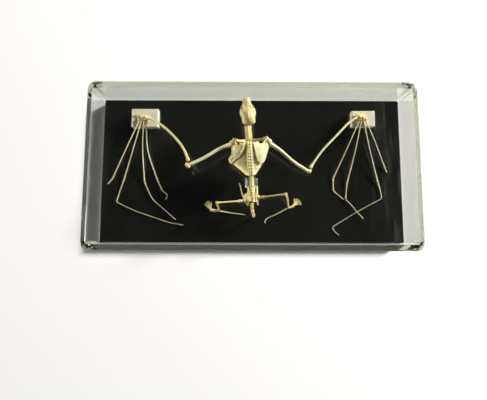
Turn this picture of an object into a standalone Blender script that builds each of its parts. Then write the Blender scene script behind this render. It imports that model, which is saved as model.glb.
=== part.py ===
"""Bat skeleton on a black base under a clear cover.

The bat lies back upwards with its head towards +Y, its wings half open along X, its wrists
on two pale blocks and its finger tips, feet and tail tip just over the base. Left and right
are the animal's own, so with the head up the left wing is on the -X side.

Named sizes are in millimetres and MM turns them into metres. A height called h is measured
from the top of the base. The origin is on the floor under the middle of the cover.
"""
import math

import bmesh
import bpy
from mathutils import Matrix, Vector

MM = 0.001
GAP = 0.3
LEFT = -1
RIGHT = 1
SIDE_NAMES = {LEFT: "left", RIGHT: "right"}

# Cover and base
COVER_SIZE = (200.0, 100.9, 40.0)
COVER_WALL = 2.2
COVER_LONG_WALL = 3.5
COVER_CORNER = 5.0
COVER_TOP_EDGE = 0.8
COVER_INNER_CORNER = 1.0
BASE_SIZE = (195.0, 93.3, 6.0)
BASE_CHAMFER = 0.7

# Wrist blocks, each by its middle, width, depth and height
BLOCKS = {
    LEFT: ((-69.5, 33.15), (17.2, 11.9, 6.2)),
    RIGHT: ((72.5, 33.1), (15.0, 10.2, 6.2)),
}
BLOCK_EDGE = 0.3

# Clear post under the loins
POST_MIDDLE = (-0.2, -8.6)
POST_FOOT = (8.4, 6.0)
POST_TOP = (5.4, 4.0)
POST_HEIGHT = 14.05

# The line of the body, leaning to the left of straight ahead
TRUNK_ORIGIN = (-1.3, 6.0)
TRUNK_LEAN = math.radians(4.5)

# Spine, by distance towards the head from the trunk's origin and height
SPINE_LINE = [(-36.0, 10.2), (-28.0, 12.9), (-23.0, 14.0), (-18.0, 15.0), (-13.5, 16.3),
              (-9.0, 18.6), (-4.5, 21.6), (0.0, 24.0), (4.5, 25.7), (9.0, 26.5), (14.0, 26.2),
              (18.4, 25.6)]
NECK_RANGE = (9.4, 18.5)
THORAX_RANGE = (-11.6, 9.0)
LOIN_RANGE = (-18.0, -12.0)
SACRUM_RANGE = (-27.6, -18.4)

# How far the collar bones bow towards the head
CLAVICLE_BOW = {LEFT: 1.5, RIGHT: 2.2}

# Rib cage, hung from the spine and tilted so that the breast lies ahead of the back
CHEST_MIDDLE = -0.6
CHEST_STEP = 0.89
CHEST_TILT = math.radians(14)
CHEST_DEPTH = 12.4
RIB_COUNT = 11
STERNAL_RIBS = 7
RIB_HALF_WIDTH = 0.55
RIB_HALF_THICK = 0.3
RIB_SWEEP = 0.8
RIB_FIRST = 9.0
RIB_LAST = -10.8

# Half widths of the rib cage along the body, the left side sprung wider than the right
CHEST_WIDTHS = {
    LEFT: [(-10.8, 4.2), (-6.8, 8.2), (-2.9, 11.8), (-0.9, 12.15), (1.1, 10.8), (5.0, 8.6),
           (7.0, 7.0), (9.0, 5.6)],
    RIGHT: [(-10.8, 3.6), (-6.8, 6.6), (-2.9, 8.2), (1.1, 8.3), (5.0, 7.8), (7.0, 6.5), (9.0, 5.2)],
}

# Shoulder blade, in rows from front to tip: place along the body, outer and inner angle
BLADE_ROWS = {
    LEFT: [(9.4, 62, 25), (6.6, 72, 23), (3.6, 78, 27), (0.6, 82, 36), (-2.0, 84, 52), (-4.0, 84, 72)],
    RIGHT: [(9.4, 62, 25), (6.6, 72, 22), (3.6, 78, 22), (0.6, 80, 24), (-2.0, 78, 30), (-4.5, 66, 42)],
}

# Outer edge of the right blade's first rows, across and along the body's line and by height
BLADE_EDGE = [(9.8, 8.0, 21.8), (11.2, 5.4, 21.6), (11.0, 3.4, 20.9), (10.3, 1.1, 20.1)]
BLADE_LIFT = 0.86

# Shoulder and arm, left and right: middles of the joints
SHOULDER = {LEFT: (-12.2, 13.7, 21.0), RIGHT: (10.2, 14.6, 21.0)}
ARM_ROUTE = {
    LEFT: [(-12.2, 13.7, 21.0), (-18.6, 11.6, 21.6), (-23.5, 8.8, 22.1), (-28.4, 5.6, 22.6),
           (-33.2, 3.1, 23.1), (-39.4, 0.2, 23.6)],
    RIGHT: [(10.2, 14.6, 21.0), (17.3, 10.5, 18.8), (22.4, 6.4, 16.8), (27.6, 2.5, 14.7),
            (35.6, -2.0, 11.6)],
}
ELBOW_BAR = {
    LEFT: [(-41.0, 1.8, 23.6), (-38.2, -1.0, 23.6)],
    RIGHT: [(35.2, -2.9, 11.2), (37.2, -1.0, 11.2)],
}
FOREARM_ROUTE = {
    LEFT: [(-38.8, 2.6, 24.4), (-42.2, 10.5, 21.0), (-46.1, 16.1, 18.2), (-52.1, 22.5, 14.7),
           (-58.7, 28.1, 11.3), (-67.0, 32.75, 8.4)],
    RIGHT: [(36.6, 0.1, 11.6), (44.5, 11.2, 10.7), (53.8, 20.9, 9.7), (62.5, 29.9, 8.8),
            (67.9, 33.35, 8.4)],
}
WRIST_STONES = {
    LEFT: [(-72.7, 32.3, 7.7), (-71.2, 32.2, 7.8), (-69.9, 32.0, 7.8), (-68.4, 32.1, 7.8),
           (-70.8, 33.3, 8.2), (-69.0, 33.4, 8.3)],
    RIGHT: [(73.8, 32.6, 7.7), (72.3, 32.5, 7.8), (70.8, 32.4, 7.8), (69.4, 32.3, 7.8),
            (71.8, 33.6, 8.2), (70.1, 33.7, 8.3)],
}
WRIST_RADII = (1.05, 1.1, 1.1, 1.15, 1.25, 1.3)
THUMB_ROUTE = {
    LEFT: [(-71.7, 34.5, 7.95), (-73.6, 35.2, 7.5), (-75.6, 34.7, 7.3), (-76.6, 33.7, 7.0)],
    RIGHT: [(69.2, 35.0, 8.05), (67.2, 36.2, 7.6), (65.7, 36.9, 7.4), (64.9, 36.0, 7.0)],
}

# Fingers: the ends of the bones from wrist to tip, and where a bone bows, the point it bows by
FINGERS = {
    LEFT: {
        2: [[(-72.9, 31.0, 7.8), (-81.6, 12.4, 4.7), (-90.2, -6.0, 1.1)],
            [(-90.2, -6.0, 1.1), (-93.1, -9.3, 0.8)]],
        3: [[(-71.5, 30.9, 7.8), (-77.0, 12.0, 4.6), (-82.7, -6.6, 1.1)],
            [(-82.7, -6.6, 1.1), (-85.1, -14.0, 0.9), (-87.1, -21.0, 0.8)],
            [(-87.1, -21.0, 0.8), (-74.0, -26.9, 0.75), (-52.2, -34.2, 0.7)],
            [(-52.2, -34.2, 0.7), (-43.7, -35.5, 0.65)]],
        4: [[(-70.0, 30.7, 7.8), (-70.6, 12.0, 4.7), (-69.3, -8.3, 1.1)],
            [(-69.3, -8.3, 1.1), (-65.8, -15.7, 0.9), (-63.1, -20.0, 0.8)],
            [(-63.1, -20.0, 0.8), (-57.3, -24.8, 0.75), (-48.8, -32.1, 0.7)]],
        5: [[(-68.3, 30.7, 7.8), (-67.2, 12.0, 4.8), (-61.1, -6.7, 1.1)],
            [(-61.1, -6.7, 1.1), (-57.8, -13.7, 0.8)],
            [(-57.8, -13.7, 0.8), (-54.6, -16.4, 0.75), (-55.3, -19.3, 0.7)]],
    },
    RIGHT: {
        2: [[(73.9, 31.3, 7.8), (79.9, 18.0, 5.1), (86.3, 2.4, 1.2)],
            [(86.3, 2.4, 1.2), (87.9, -1.3, 0.8)]],
        3: [[(72.4, 31.2, 7.8), (76.6, 12.0, 4.7), (81.8, -8.0, 1.1)],
            [(81.8, -8.0, 1.1), (83.2, -13.2, 0.9), (83.9, -18.3, 0.8)],
            [(83.9, -18.3, 0.8), (67.8, -26.9, 0.7), (51.8, -36.4, 0.7)],
            [(51.8, -36.4, 0.7), (52.8, -38.9, 0.7), (55.9, -41.7, 0.65)]],
        4: [[(70.8, 31.1, 7.8), (66.9, 12.0, 4.7), (61.6, -9.1, 1.1)],
            [(61.6, -9.1, 1.1), (60.6, -18.9, 1.0)],
            [(60.6, -18.9, 1.0), (64.0, -22.3, 1.5), (67.6, -27.0, 1.8), (71.5, -31.0, 0.9)]],
        5: [[(69.3, 31.0, 7.8), (60.9, 12.0, 4.7), (52.8, -5.5, 1.1)],
            [(52.8, -5.5, 1.1), (52.9, -13.6, 0.8)],
            [(52.9, -13.6, 0.8), (59.3, -18.9, 0.7)]],
    },
}
FINGER_ROUNDNESS = 1
FINGER_BONES = ("metacarpal", "phalanx_1", "phalanx_2", "phalanx_3")
FINGER_RADII = ((0.52, 0.42, 0.62), (0.56, 0.36, 0.46), (0.42, 0.29, 0.34), (0.33, 0.26, 0.26))

# Legs, left and right
HIP = {LEFT: (-6.1, -20.7, 14.0), RIGHT: (5.2, -18.5, 14.0)}
KNEE = {LEFT: (-21.6, -22.2, 19.2), RIGHT: (20.8, -16.8, 19.2)}
ANKLE = {LEFT: (-21.0, -25.4, 2.1), RIGHT: (23.6, -23.6, 2.1)}
FOOT_ROUTE = {
    LEFT: [(-21.1, -26.2, 1.3), (-23.8, -26.3, 1.5), (-26.2, -25.8, 1.4)],
    RIGHT: [(23.4, -24.5, 1.3), (25.6, -23.9, 1.5), (27.4, -22.6, 1.4)],
}
TOE_TIPS = {
    LEFT: [(-25.8, -20.8), (-27.1, -20.1), (-28.4, -19.8), (-29.6, -20.5), (-30.5, -21.9)],
    RIGHT: [(27.6, -18.2), (29.3, -18.2), (30.8, -18.9), (31.9, -20.2), (32.4, -21.9)],
}
HEEL_SPUR_ROUTE = {
    LEFT: [(-20.6, -26.55, 1.2), (-12.6, -27.9, 0.9), (-4.2, -28.9, 0.75)],
    RIGHT: [(22.9, -24.75, 1.2), (15.7, -28.6, 0.9), (10.1, -31.1, 0.8), (8.4, -33.4, 0.75),
            (9.1, -34.2, 0.75)],
}

# Tail, by distance across, distance towards the head and height
TAIL_LINE = [(-0.8, -27.9, 12.7), (-1.1, -31.0, 12.1), (-0.7, -34.2, 11.2), (-0.4, -35.6, 9.4),
             (-0.3, -36.1, 6.6), (-0.3, -36.2, 3.6), (-0.3, -36.2, 0.05)]
TAIL_JOINTS = 7

# Skull, by distance along it from the back of the head
SKULL_START = 18.9
SKULL_HEIGHT = 22.6
SKULL_SECTIONS = [
    # distance, half width, bottom, top
    (0.0, 1.4, 1.6, 3.6),
    (0.7, 3.0, 0.6, 5.2),
    (2.4, 3.9, 0.1, 6.5),
    (5.0, 4.15, 0.2, 7.1),
    (7.6, 4.0, 0.8, 6.8),
    (9.6, 3.3, 1.3, 5.6),
    (11.2, 2.7, 1.5, 4.6),
    (13.0, 2.6, 1.3, 4.1),
    (15.2, 2.5, 1.2, 3.8),
    (16.8, 2.25, 1.3, 3.3),
    (17.7, 1.7, 1.6, 2.8),
]
SKULL_SIDES = 12
CHEEK_ROUTE = [(5.0, 3.6, 1.6), (6.4, 4.5, 1.9), (8.4, 4.65, 2.1), (10.9, 4.0, 2.1), (13.2, 2.5, 2.0)]
CHEEK_RADIUS = 0.46
SKULL_SHIFT = 0.85
SKULL_YAW = -0.03
UPPER_TEETH = [(16.9, 1.1, 0.30, 0.8), (15.9, 1.7, 0.48, 1.6), (14.8, 1.9, 0.45, 1.0),
               (13.6, 2.0, 0.5, 1.0), (12.3, 2.1, 0.5, 1.0)]
JAW_ROUTE = [(16.2, 0.0, -1.5), (15.2, 1.1, -1.4), (12.4, 2.0, -1.2), (9.2, 3.0, -0.9),
             (6.6, 3.5, -0.2), (5.6, 3.6, 0.5)]
JAW_HORN = [(8.0, 3.3, -0.7), (8.0, 3.5, 0.6), (8.5, 3.5, 1.3)]
JAW_RADIUS = 0.62
LOWER_TEETH = [(15.4, 0.8, 0.28, 0.45), (14.6, 1.3, 0.36, 0.55), (13.2, 1.75, 0.4, 0.5),
               (11.9, 2.1, 0.4, 0.5)]

MATERIAL_LOOKS = {
    "bone": ((0.80, 0.72, 0.48, 1.0), 0.5, 1.0),
    "black_base": ((0.012, 0.013, 0.011, 1.0), 0.12, 1.0),
    "clear_plastic": ((0.93, 0.95, 0.88, 1.0), 0.06, 0.25),
    "cream_plastic": ((0.82, 0.78, 0.66, 1.0), 0.45, 1.0),
}


def place(x, y, h):
    """A point across, towards the head, and above the base."""
    return Vector((x, y, BASE_SIZE[2] + h)) * MM


def trunk(a, b, h):
    """A point a across and b along the leaning line of the body."""
    x = TRUNK_ORIGIN[0] + a * math.cos(TRUNK_LEAN) - b * math.sin(TRUNK_LEAN)
    y = TRUNK_ORIGIN[1] + a * math.sin(TRUNK_LEAN) + b * math.cos(TRUNK_LEAN)
    return place(x, y, h)


def chest(a, s, d):
    """A point of the tilted chest: a across, s towards the neck, d from back to breast."""
    b = CHEST_MIDDLE + s * CHEST_STEP
    return trunk(a, b + d * math.sin(CHEST_TILT), spine_height(b) - d * math.cos(CHEST_TILT))


def between(table, x):
    """The value at x on the straight lines through a table's points."""
    for (x0, y0), (x1, y1) in zip(table, table[1:]):
        if x <= x1:
            return y0 + (y1 - y0) * (x - x0) / (x1 - x0)
    return table[-1][1]


def spine_height(b):
    """Height of the spine at b along the body."""
    return between(SPINE_LINE, b)


def new_collection(name):
    collection = bpy.data.collections.new(name)
    bpy.context.scene.collection.children.link(collection)
    return collection


def make_material(name):
    colour, roughness, alpha = MATERIAL_LOOKS[name]
    material = bpy.data.materials.new(name)
    material.use_nodes = True
    shader = material.node_tree.nodes["Principled BSDF"]
    shader.inputs["Base Color"].default_value = colour
    shader.inputs["Roughness"].default_value = roughness
    shader.inputs["Alpha"].default_value = alpha
    material.diffuse_color = colour
    return material


def new_object(name, mesh):
    thing = bpy.data.objects.new(name, mesh)
    pieces.objects.link(thing)
    return thing


def finish_node(thing, name, material, smooth=True):
    """Name the finished piece, give it its material and move it to the object's parts."""
    thing.name = name
    thing.data.name = name
    thing.data.materials.clear()
    thing.data.materials.append(materials[material])
    if smooth:
        thing.data.shade_smooth()
        thing.data.set_sharp_from_angle(angle=math.radians(50))
    pieces.objects.unlink(thing)
    parts.objects.link(thing)
    return thing


def smooth_path(points, steps=8):
    """Points on a smooth curve through the given ones."""
    points = [Vector(p) for p in points]
    ends = [points[0] * 2 - points[1]] + points + [points[-1] * 2 - points[-2]]
    path = []
    for i in range(1, len(ends) - 2):
        p0, p1, p2, p3 = ends[i - 1:i + 3]
        for k in range(steps):
            t = k / steps
            path.append(0.5 * (2 * p1 + (p2 - p0) * t + (2 * p0 - 5 * p1 + 4 * p2 - p3) * t ** 2
                               + (3 * p1 - p0 - 3 * p2 + p3) * t ** 3))
    path.append(points[-1])
    return path


def path_length(path):
    return sum((b - a).length for a, b in zip(path, path[1:]))


def point_along(path, distance):
    """The point at a distance along a path."""
    for a, b in zip(path, path[1:]):
        step = (b - a).length
        if distance <= step:
            return a.lerp(b, distance / step)
        distance -= step
    return path[-1].copy()


def tube(path, radii, roundness=2):
    """A closed tube with filled ends along a path in metres, with its radius in mm at each point."""
    curve = bpy.data.curves.new("tube", "CURVE")
    curve.dimensions = "3D"
    curve.bevel_depth = MM
    curve.bevel_resolution = roundness
    curve.use_fill_caps = True
    spline = curve.splines.new("POLY")
    spline.points.add(len(path) - 1)
    for point, position, radius in zip(spline.points, path, radii):
        point.co = (*position, 1.0)
        point.radius = radius
    holder = bpy.data.objects.new("tube", curve)
    pieces.objects.link(holder)
    graph = bpy.context.evaluated_depsgraph_get()
    mesh = bpy.data.meshes.new_from_object(holder.evaluated_get(graph))
    bm = bmesh.new()
    bm.from_mesh(mesh)
    bmesh.ops.remove_doubles(bm, verts=bm.verts, dist=0.000001)
    bmesh.ops.recalc_face_normals(bm, faces=bm.faces)
    bm.to_mesh(mesh)
    bm.free()
    bpy.data.objects.remove(holder)
    bpy.data.curves.remove(curve)
    return new_object("tube", mesh)


def bone(route, near, shaft, far, trims=(0.15, 0.15), shaft_steps=3, roundness=2):
    """A long bone: a shaft between two rounded ends, cut short of its joints by the trims."""
    path = smooth_path(route)
    start = trims[0] * MM
    end = path_length(path) - trims[1] * MM
    near_marks = [(0.0, 0.5 * near), (0.3 * near, 0.9 * near), (0.9 * near, near)]
    far_marks = [(0.9 * far, far), (0.3 * far, 0.9 * far), (0.0, 0.5 * far)]
    marks = [(start + d * MM, r) for d, r in near_marks]
    inner_start = start + 2.6 * near * MM
    inner_end = end - 2.6 * far * MM
    for k in range(shaft_steps + 1):
        marks.append((inner_start + (inner_end - inner_start) * k / shaft_steps, shaft))
    marks += [(end - d * MM, r) for d, r in far_marks]
    return tube([point_along(path, d) for d, _ in marks], [r for _, r in marks], roundness)


def spindle(route, radii, steps=2, roundness=2):
    """A tube along a smooth route, its radius running smoothly through the given ones."""
    path = smooth_path(route, steps)
    widths = smooth_path([Vector((r, 0, 0)) for r in radii], steps)
    return tube(path, [w.x for w in widths], roundness)


def ball(centre, size, turn=0.0, segments=8, rings=6):
    """An ellipsoid of half sizes in mm, turned about the upright axis."""
    mesh = bpy.data.meshes.new("ball")
    bm = bmesh.new()
    bmesh.ops.create_uvsphere(bm, u_segments=segments, v_segments=rings, radius=1.0)
    scale = Matrix.Diagonal((*(Vector(size) * MM), 1.0))
    spin = Matrix.Rotation(turn, 4, "Z")
    bm.transform(Matrix.Translation(centre) @ spin @ scale)
    bm.to_mesh(mesh)
    bm.free()
    return new_object("ball", mesh)


def cone(foot, tip, radius, sides=6):
    """A small pointed cone from its foot to its tip."""
    mesh = bpy.data.meshes.new("cone")
    bm = bmesh.new()
    length = (tip - foot).length
    bmesh.ops.create_cone(bm, cap_ends=True, segments=sides, radius1=radius * MM,
                          radius2=0.12 * radius * MM, depth=length)
    turn = (tip - foot).to_track_quat("Z", "Y").to_matrix().to_4x4()
    bm.transform(Matrix.Translation((foot + tip) / 2) @ turn)
    bm.to_mesh(mesh)
    bm.free()
    return new_object("cone", mesh)


def loft(rings):
    """A closed body through rings of points, each with as many points as the others."""
    mesh = bpy.data.meshes.new("loft")
    bm = bmesh.new()
    loops = [[bm.verts.new(p) for p in ring] for ring in rings]
    count = len(rings[0])
    for low, high in zip(loops, loops[1:]):
        for i in range(count):
            j = (i + 1) % count
            bm.faces.new((low[i], low[j], high[j], high[i]))
    bm.faces.new(list(reversed(loops[0])))
    bm.faces.new(loops[-1])
    bmesh.ops.triangulate(bm, faces=bm.faces)
    bmesh.ops.recalc_face_normals(bm, faces=bm.faces)
    bm.to_mesh(mesh)
    bm.free()
    return new_object("loft", mesh)


def strap(path, half_widths, half_thick, wide_way, sides=6):
    """A flattened bar along a path, its wide side turned as near as it goes to a direction."""
    rings = []
    for k, point in enumerate(path):
        along = (path[min(k + 1, len(path) - 1)] - path[max(k - 1, 0)]).normalized()
        wide = (wide_way - along * wide_way.dot(along)).normalized()
        thin = along.cross(wide)
        ring = []
        for i in range(sides):
            angle = 2 * math.pi * i / sides
            ring.append(point + wide * half_widths[k] * MM * math.cos(angle)
                        + thin * half_thick * MM * math.sin(angle))
        rings.append(ring)
    return loft(rings)


def largest_shell(mesh):
    """Keep the closed surface with the greatest volume and drop the rest."""
    bm = bmesh.new()
    bm.from_mesh(mesh)
    bmesh.ops.remove_doubles(bm, verts=bm.verts, dist=0.000002)
    bmesh.ops.dissolve_degenerate(bm, edges=bm.edges, dist=0.000002)
    bmesh.ops.triangulate(bm, faces=bm.faces)
    unseen = set(bm.faces)
    shells = []
    while unseen:
        queue = [unseen.pop()]
        shell = []
        while queue:
            face = queue.pop()
            shell.append(face)
            for edge in face.edges:
                for other in edge.link_faces:
                    if other in unseen:
                        unseen.remove(other)
                        queue.append(other)
        volume = sum(f.verts[0].co.dot(f.verts[1].co.cross(f.verts[2].co)) for f in shell) / 6
        shells.append((volume, shell))
    keep = set(max(shells, key=lambda item: item[0])[1])
    bmesh.ops.delete(bm, geom=[f for f in bm.faces if f not in keep], context="FACES")
    bmesh.ops.delete(bm, geom=[v for v in bm.verts if not v.link_faces], context="VERTS")
    bm.to_mesh(mesh)
    bm.free()


def bake(thing):
    """Replace a piece's mesh by the one its modifiers give."""
    graph = bpy.context.evaluated_depsgraph_get()
    mesh = bpy.data.meshes.new_from_object(thing.evaluated_get(graph))
    thing.modifiers.clear()
    thing.data = mesh


def fuse(shapes):
    """One closed body from pieces that overlap."""
    first = shapes[0]
    group = new_collection("fused")
    for shape in shapes[1:]:
        pieces.objects.unlink(shape)
        group.objects.link(shape)
    union = first.modifiers.new("union", "BOOLEAN")
    union.operation = "UNION"
    union.operand_type = "COLLECTION"
    union.collection = group
    bake(first)
    for shape in shapes[1:]:
        bpy.data.objects.remove(shape)
    bpy.data.collections.remove(group)
    largest_shell(first.data)
    return first


def box(size, middle, bottom):
    """A block of the given size over a middle point, from a bottom height, as an open bmesh."""
    bm = bmesh.new()
    bmesh.ops.create_cube(bm, size=1.0)
    scale = Matrix.Diagonal((size[0] * MM, size[1] * MM, size[2] * MM, 1.0))
    lift = Matrix.Translation(Vector((middle[0], middle[1], bottom + size[2] / 2)) * MM)
    bm.transform(lift @ scale)
    return bm


def bevel_edges(bm, chosen, width, segments):
    bmesh.ops.bevel(bm, geom=chosen, offset=width * MM, segments=segments, profile=0.5,
                    affect="EDGES", clamp_overlap=True)


def upright_edges(bm):
    return [e for e in bm.edges if abs(e.verts[0].co.z - e.verts[1].co.z) > 0.5 * MM]


def top_edges(bm):
    top = max(v.co.z for v in bm.verts)
    return [e for e in bm.edges if all(v.co.z > top - 0.01 * MM for v in e.verts)]


def mesh_from(bm, name):
    mesh = bpy.data.meshes.new(name)
    bm.to_mesh(mesh)
    bm.free()
    return new_object(name, mesh)


def build_base():
    bm = box(BASE_SIZE, (0.0, 0.0), 0.0)
    bevel_edges(bm, upright_edges(bm), BASE_CHAMFER, 1)
    bevel_edges(bm, top_edges(bm), BASE_CHAMFER, 1)
    finish_node(mesh_from(bm, "base"), "case_base", "black_base", smooth=False)


def build_cover():
    """A thin rounded box, open below."""
    outer = box(COVER_SIZE, (0.0, 0.0), 0.0)
    bevel_edges(outer, upright_edges(outer), COVER_CORNER, 5)
    bevel_edges(outer, top_edges(outer), COVER_TOP_EDGE, 2)
    cover = mesh_from(outer, "cover")
    inner_size = (COVER_SIZE[0] - 2 * COVER_WALL, COVER_SIZE[1] - 2 * COVER_LONG_WALL, COVER_SIZE[2])
    inner = box(inner_size, (0.0, 0.0), -COVER_WALL)
    bevel_edges(inner, upright_edges(inner), COVER_INNER_CORNER, 3)
    hollow = mesh_from(inner, "hollow")
    hollow.hide_render = True
    hollow.display_type = "WIRE"
    cut = cover.modifiers.new("hollow", "BOOLEAN")
    cut.operation = "DIFFERENCE"
    cut.object = hollow
    bake(cover)
    bpy.data.objects.remove(hollow)
    largest_shell(cover.data)
    finish_node(cover, "case_cover", "clear_plastic", smooth=False)


def build_block(side):
    middle, size = BLOCKS[side]
    bm = box(size, middle, BASE_SIZE[2] + GAP)
    bevel_edges(bm, list(bm.edges), BLOCK_EDGE, 1)
    finish_node(mesh_from(bm, "block"), "wrist_block_" + SIDE_NAMES[side], "cream_plastic", smooth=False)


def build_post():
    """A clear post, narrower at its top."""
    bm = box((*POST_FOOT, POST_HEIGHT - GAP), POST_MIDDLE, BASE_SIZE[2] + GAP)
    middle = Vector((*POST_MIDDLE, 0.0)) * MM
    top = max(v.co.z for v in bm.verts)
    for v in bm.verts:
        if v.co.z > top - 0.01 * MM:
            v.co.x = middle.x + (v.co.x - middle.x) * POST_TOP[0] / POST_FOOT[0]
            v.co.y = middle.y + (v.co.y - middle.y) * POST_TOP[1] / POST_FOOT[1]
    finish_node(mesh_from(bm, "post"), "post", "clear_plastic", smooth=False)


def spine_ring(a, b, half_width, half_height, sides=8):
    """An upright oval ring round the spine at b along the body."""
    ring = []
    for k in range(sides):
        angle = 2 * math.pi * (k + 0.5) / sides
        across = a + half_width * math.cos(angle)
        ring.append(trunk(across, b, spine_height(b) + half_height * math.sin(angle)))
    return ring


def spine_body(a, start, end, count, half_width, half_height, core, sides=8):
    """Vertebrae in a row from start to end along the body, waisted between them."""
    length = (end - start) / count
    rings = []
    for k in range(count):
        for part_way, share in ((0.0, 0.0), (0.2, 1.0), (0.72, 0.9)):
            wide = core + (half_width - core) * share
            high = core + (half_height - core) * share
            rings.append(spine_ring(a, start + length * (k + part_way), wide, high, sides))
    rings.append(spine_ring(a, end, core, core, sides))
    return loft(rings)


def spine_stretch(start, end, count, half_width, half_height, core, wings=0.0, crest=0.0):
    """A stretch of the spine with the side wings and the crests of its vertebrae."""
    shapes = [spine_body(0.0, start, end, count, half_width, half_height, core)]
    length = abs(end - start) / count
    for k in range(count):
        b = start + (end - start) * (k + 0.5) / count
        if wings:
            for side in (LEFT, RIGHT):
                root = trunk(side * 0.4 * half_width, b, spine_height(b))
                tip = trunk(side * wings, b + 0.25 * length, spine_height(b) - 0.3)
                shapes.append(cone(root, tip, 0.38, 4))
        if crest:
            root = trunk(0, b, spine_height(b) + 0.4 * half_height)
            tip = trunk(0, b - 0.2 * length, spine_height(b) + crest)
            shapes.append(cone(root, tip, 0.4, 4))
    return shapes


def build_neck():
    shapes = spine_stretch(*NECK_RANGE, 7, 2.3, 1.15, 0.95)
    finish_node(fuse(shapes), "neck_vertebrae", "bone")


def build_loin():
    shapes = spine_stretch(*LOIN_RANGE, 5, 1.25, 1.15, 0.8, wings=1.9, crest=1.6)
    finish_node(fuse(shapes), "lumbar_spine", "bone")


def chest_point(side, s, angle, out=0.0):
    """A point on the rib cage at an angle down from the back, moved out by a distance."""
    half = between(CHEST_WIDTHS[side], s) + out
    deep = CHEST_DEPTH / 2 + out
    depth = CHEST_DEPTH / 2 - deep * math.cos(angle)
    return chest(side * half * math.sin(angle), s, depth)


def rib_position(index):
    return RIB_FIRST + (RIB_LAST - RIB_FIRST) * index / (RIB_COUNT - 1)


def build_rib_cage(side):
    """One side: half of the back bones, the ribs and half of the breast bone."""
    shapes = [spine_body(side * 0.6, *THORAX_RANGE, RIB_COUNT, 1.3, 1.05, 0.85, 6)]
    for index in range(RIB_COUNT):
        s = rib_position(index)
        root_b = CHEST_MIDDLE + s * CHEST_STEP
        root_h = spine_height(root_b)
        crest_root = trunk(side * 0.45, root_b, root_h + 0.4)
        shapes.append(cone(crest_root, trunk(side * 0.42, root_b - 0.5, root_h + 1.9), 0.3, 4))
        route = [trunk(side * 0.8, root_b, root_h - 0.1)]
        last_angle = 150 if index < STERNAL_RIBS else 150 - 13 * (index - STERNAL_RIBS + 1)
        for k in range(1, 6):
            angle = math.radians(22 + (last_angle - 22) * (k - 1) / 4)
            drop = RIB_SWEEP * math.sin(min(angle, math.pi / 2))
            route.append(chest_point(side, s - drop, angle))
        if index < STERNAL_RIBS:
            breast = 8.4 - 1.45 * index
            route.append(chest(side * 0.7, breast, CHEST_DEPTH))
        widths = [0.45] + [RIB_HALF_WIDTH] * (len(route) - 2) + [0.4]
        shapes.append(strap(route, widths, RIB_HALF_THICK, chest(0, 1, 0) - chest(0, 0, 0)))
    keel = [chest(side * 0.75, s, CHEST_DEPTH) for s in (9.8, 8.4, 5.0, 1.0, -2.6)]
    shapes.append(tube(keel, [0.95, 0.85, 0.55, 0.55, 0.5], 1))
    arch = []
    for s, angle in ((-1.6, 172), (-4.0, 160), (-7.0, 143), (-9.4, 120), (-10.8, 98)):
        arch.append(chest_point(side, s, math.radians(angle)))
    shapes.append(tube(arch, [0.42, 0.38, 0.36, 0.34, 0.32], 1))
    half = fuse(shapes)
    cut_at_middle(half, side)
    finish_node(half, "rib_cage_" + SIDE_NAMES[side], "bone")


def cut_at_middle(thing, side):
    """Cut away what crosses the body's middle plane, less half the gap."""
    across = (trunk(1, 0, 0) - trunk(0, 0, 0)).normalized()
    point = trunk(side * GAP / 2, 0, 0)
    bm = bmesh.new()
    bm.from_mesh(thing.data)
    cut = bmesh.ops.bisect_plane(bm, geom=bm.verts[:] + bm.edges[:] + bm.faces[:], plane_co=point,
                                 plane_no=across * side, clear_inner=True)
    rim = [g for g in cut["geom_cut"] if isinstance(g, bmesh.types.BMEdge)]
    bmesh.ops.triangle_fill(bm, edges=rim, use_beauty=True)
    bmesh.ops.recalc_face_normals(bm, faces=bm.faces)
    bm.to_mesh(thing.data)
    bm.free()
    largest_shell(thing.data)


def build_pelvis():
    """The sacrum with a thin hip bone along each side, its spine and the ring below."""
    shapes = spine_stretch(*SACRUM_RANGE, 5, 1.9, 1.15, 1.0, crest=1.5)
    front, back = SACRUM_RANGE[1], SACRUM_RANGE[0]
    cups = {LEFT: (-5.5, -25.9), RIGHT: (3.15, -24.7)}
    for side in (LEFT, RIGHT):
        across, along = cups[side]
        cup = trunk(across, along, 13.4)
        shapes.append(spindle([trunk(side * 2.9, front + 0.3, 15.2), trunk(side * 2.5, front - 3.2, 14.4), cup],
                              [0.62, 0.75, 0.9], 1, 1))
        shapes.append(ball(cup, (1.25, 1.3, 1.2), TRUNK_LEAN, 8, 5))
        wing = trunk(0.55 * across, along + 1.6, 13.9)
        shapes.append(ball(wing, (0.5 * abs(across), 3.0, 0.85), TRUNK_LEAN, 8, 4))
        shapes.append(tube([trunk(side * 1.0, along + 1.5, 13.9), cup], [0.7, 0.7], 1))
        seat = trunk(side * 1.6 + 0.35 * across, back - 1.6, 10.4)
        pubis = trunk(side * 0.9 + 0.2 * across, along + 1.4, 9.0)
        shapes.append(tube([cup, seat], [0.65, 0.6], 1))
        shapes.append(tube([cup, pubis], [0.55, 0.5], 1))
        shapes.append(tube([seat, pubis], [0.5, 0.45], 1))
    left_spine = [place(-4.6, -19.6, 13.2), place(-6.0, -16.6, 13.6), place(-7.8, -9.6, 14.0)]
    right_spine = [place(2.6, -18.4, 13.2), place(3.4, -16.4, 13.5), place(3.3, -12.2, 13.9)]
    shapes.append(spindle(left_spine, [0.5, 0.42, 0.36], 1, 1))
    shapes.append(spindle(right_spine, [0.5, 0.42, 0.36], 1, 1))
    finish_node(fuse(shapes), "pelvis", "bone")


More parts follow.
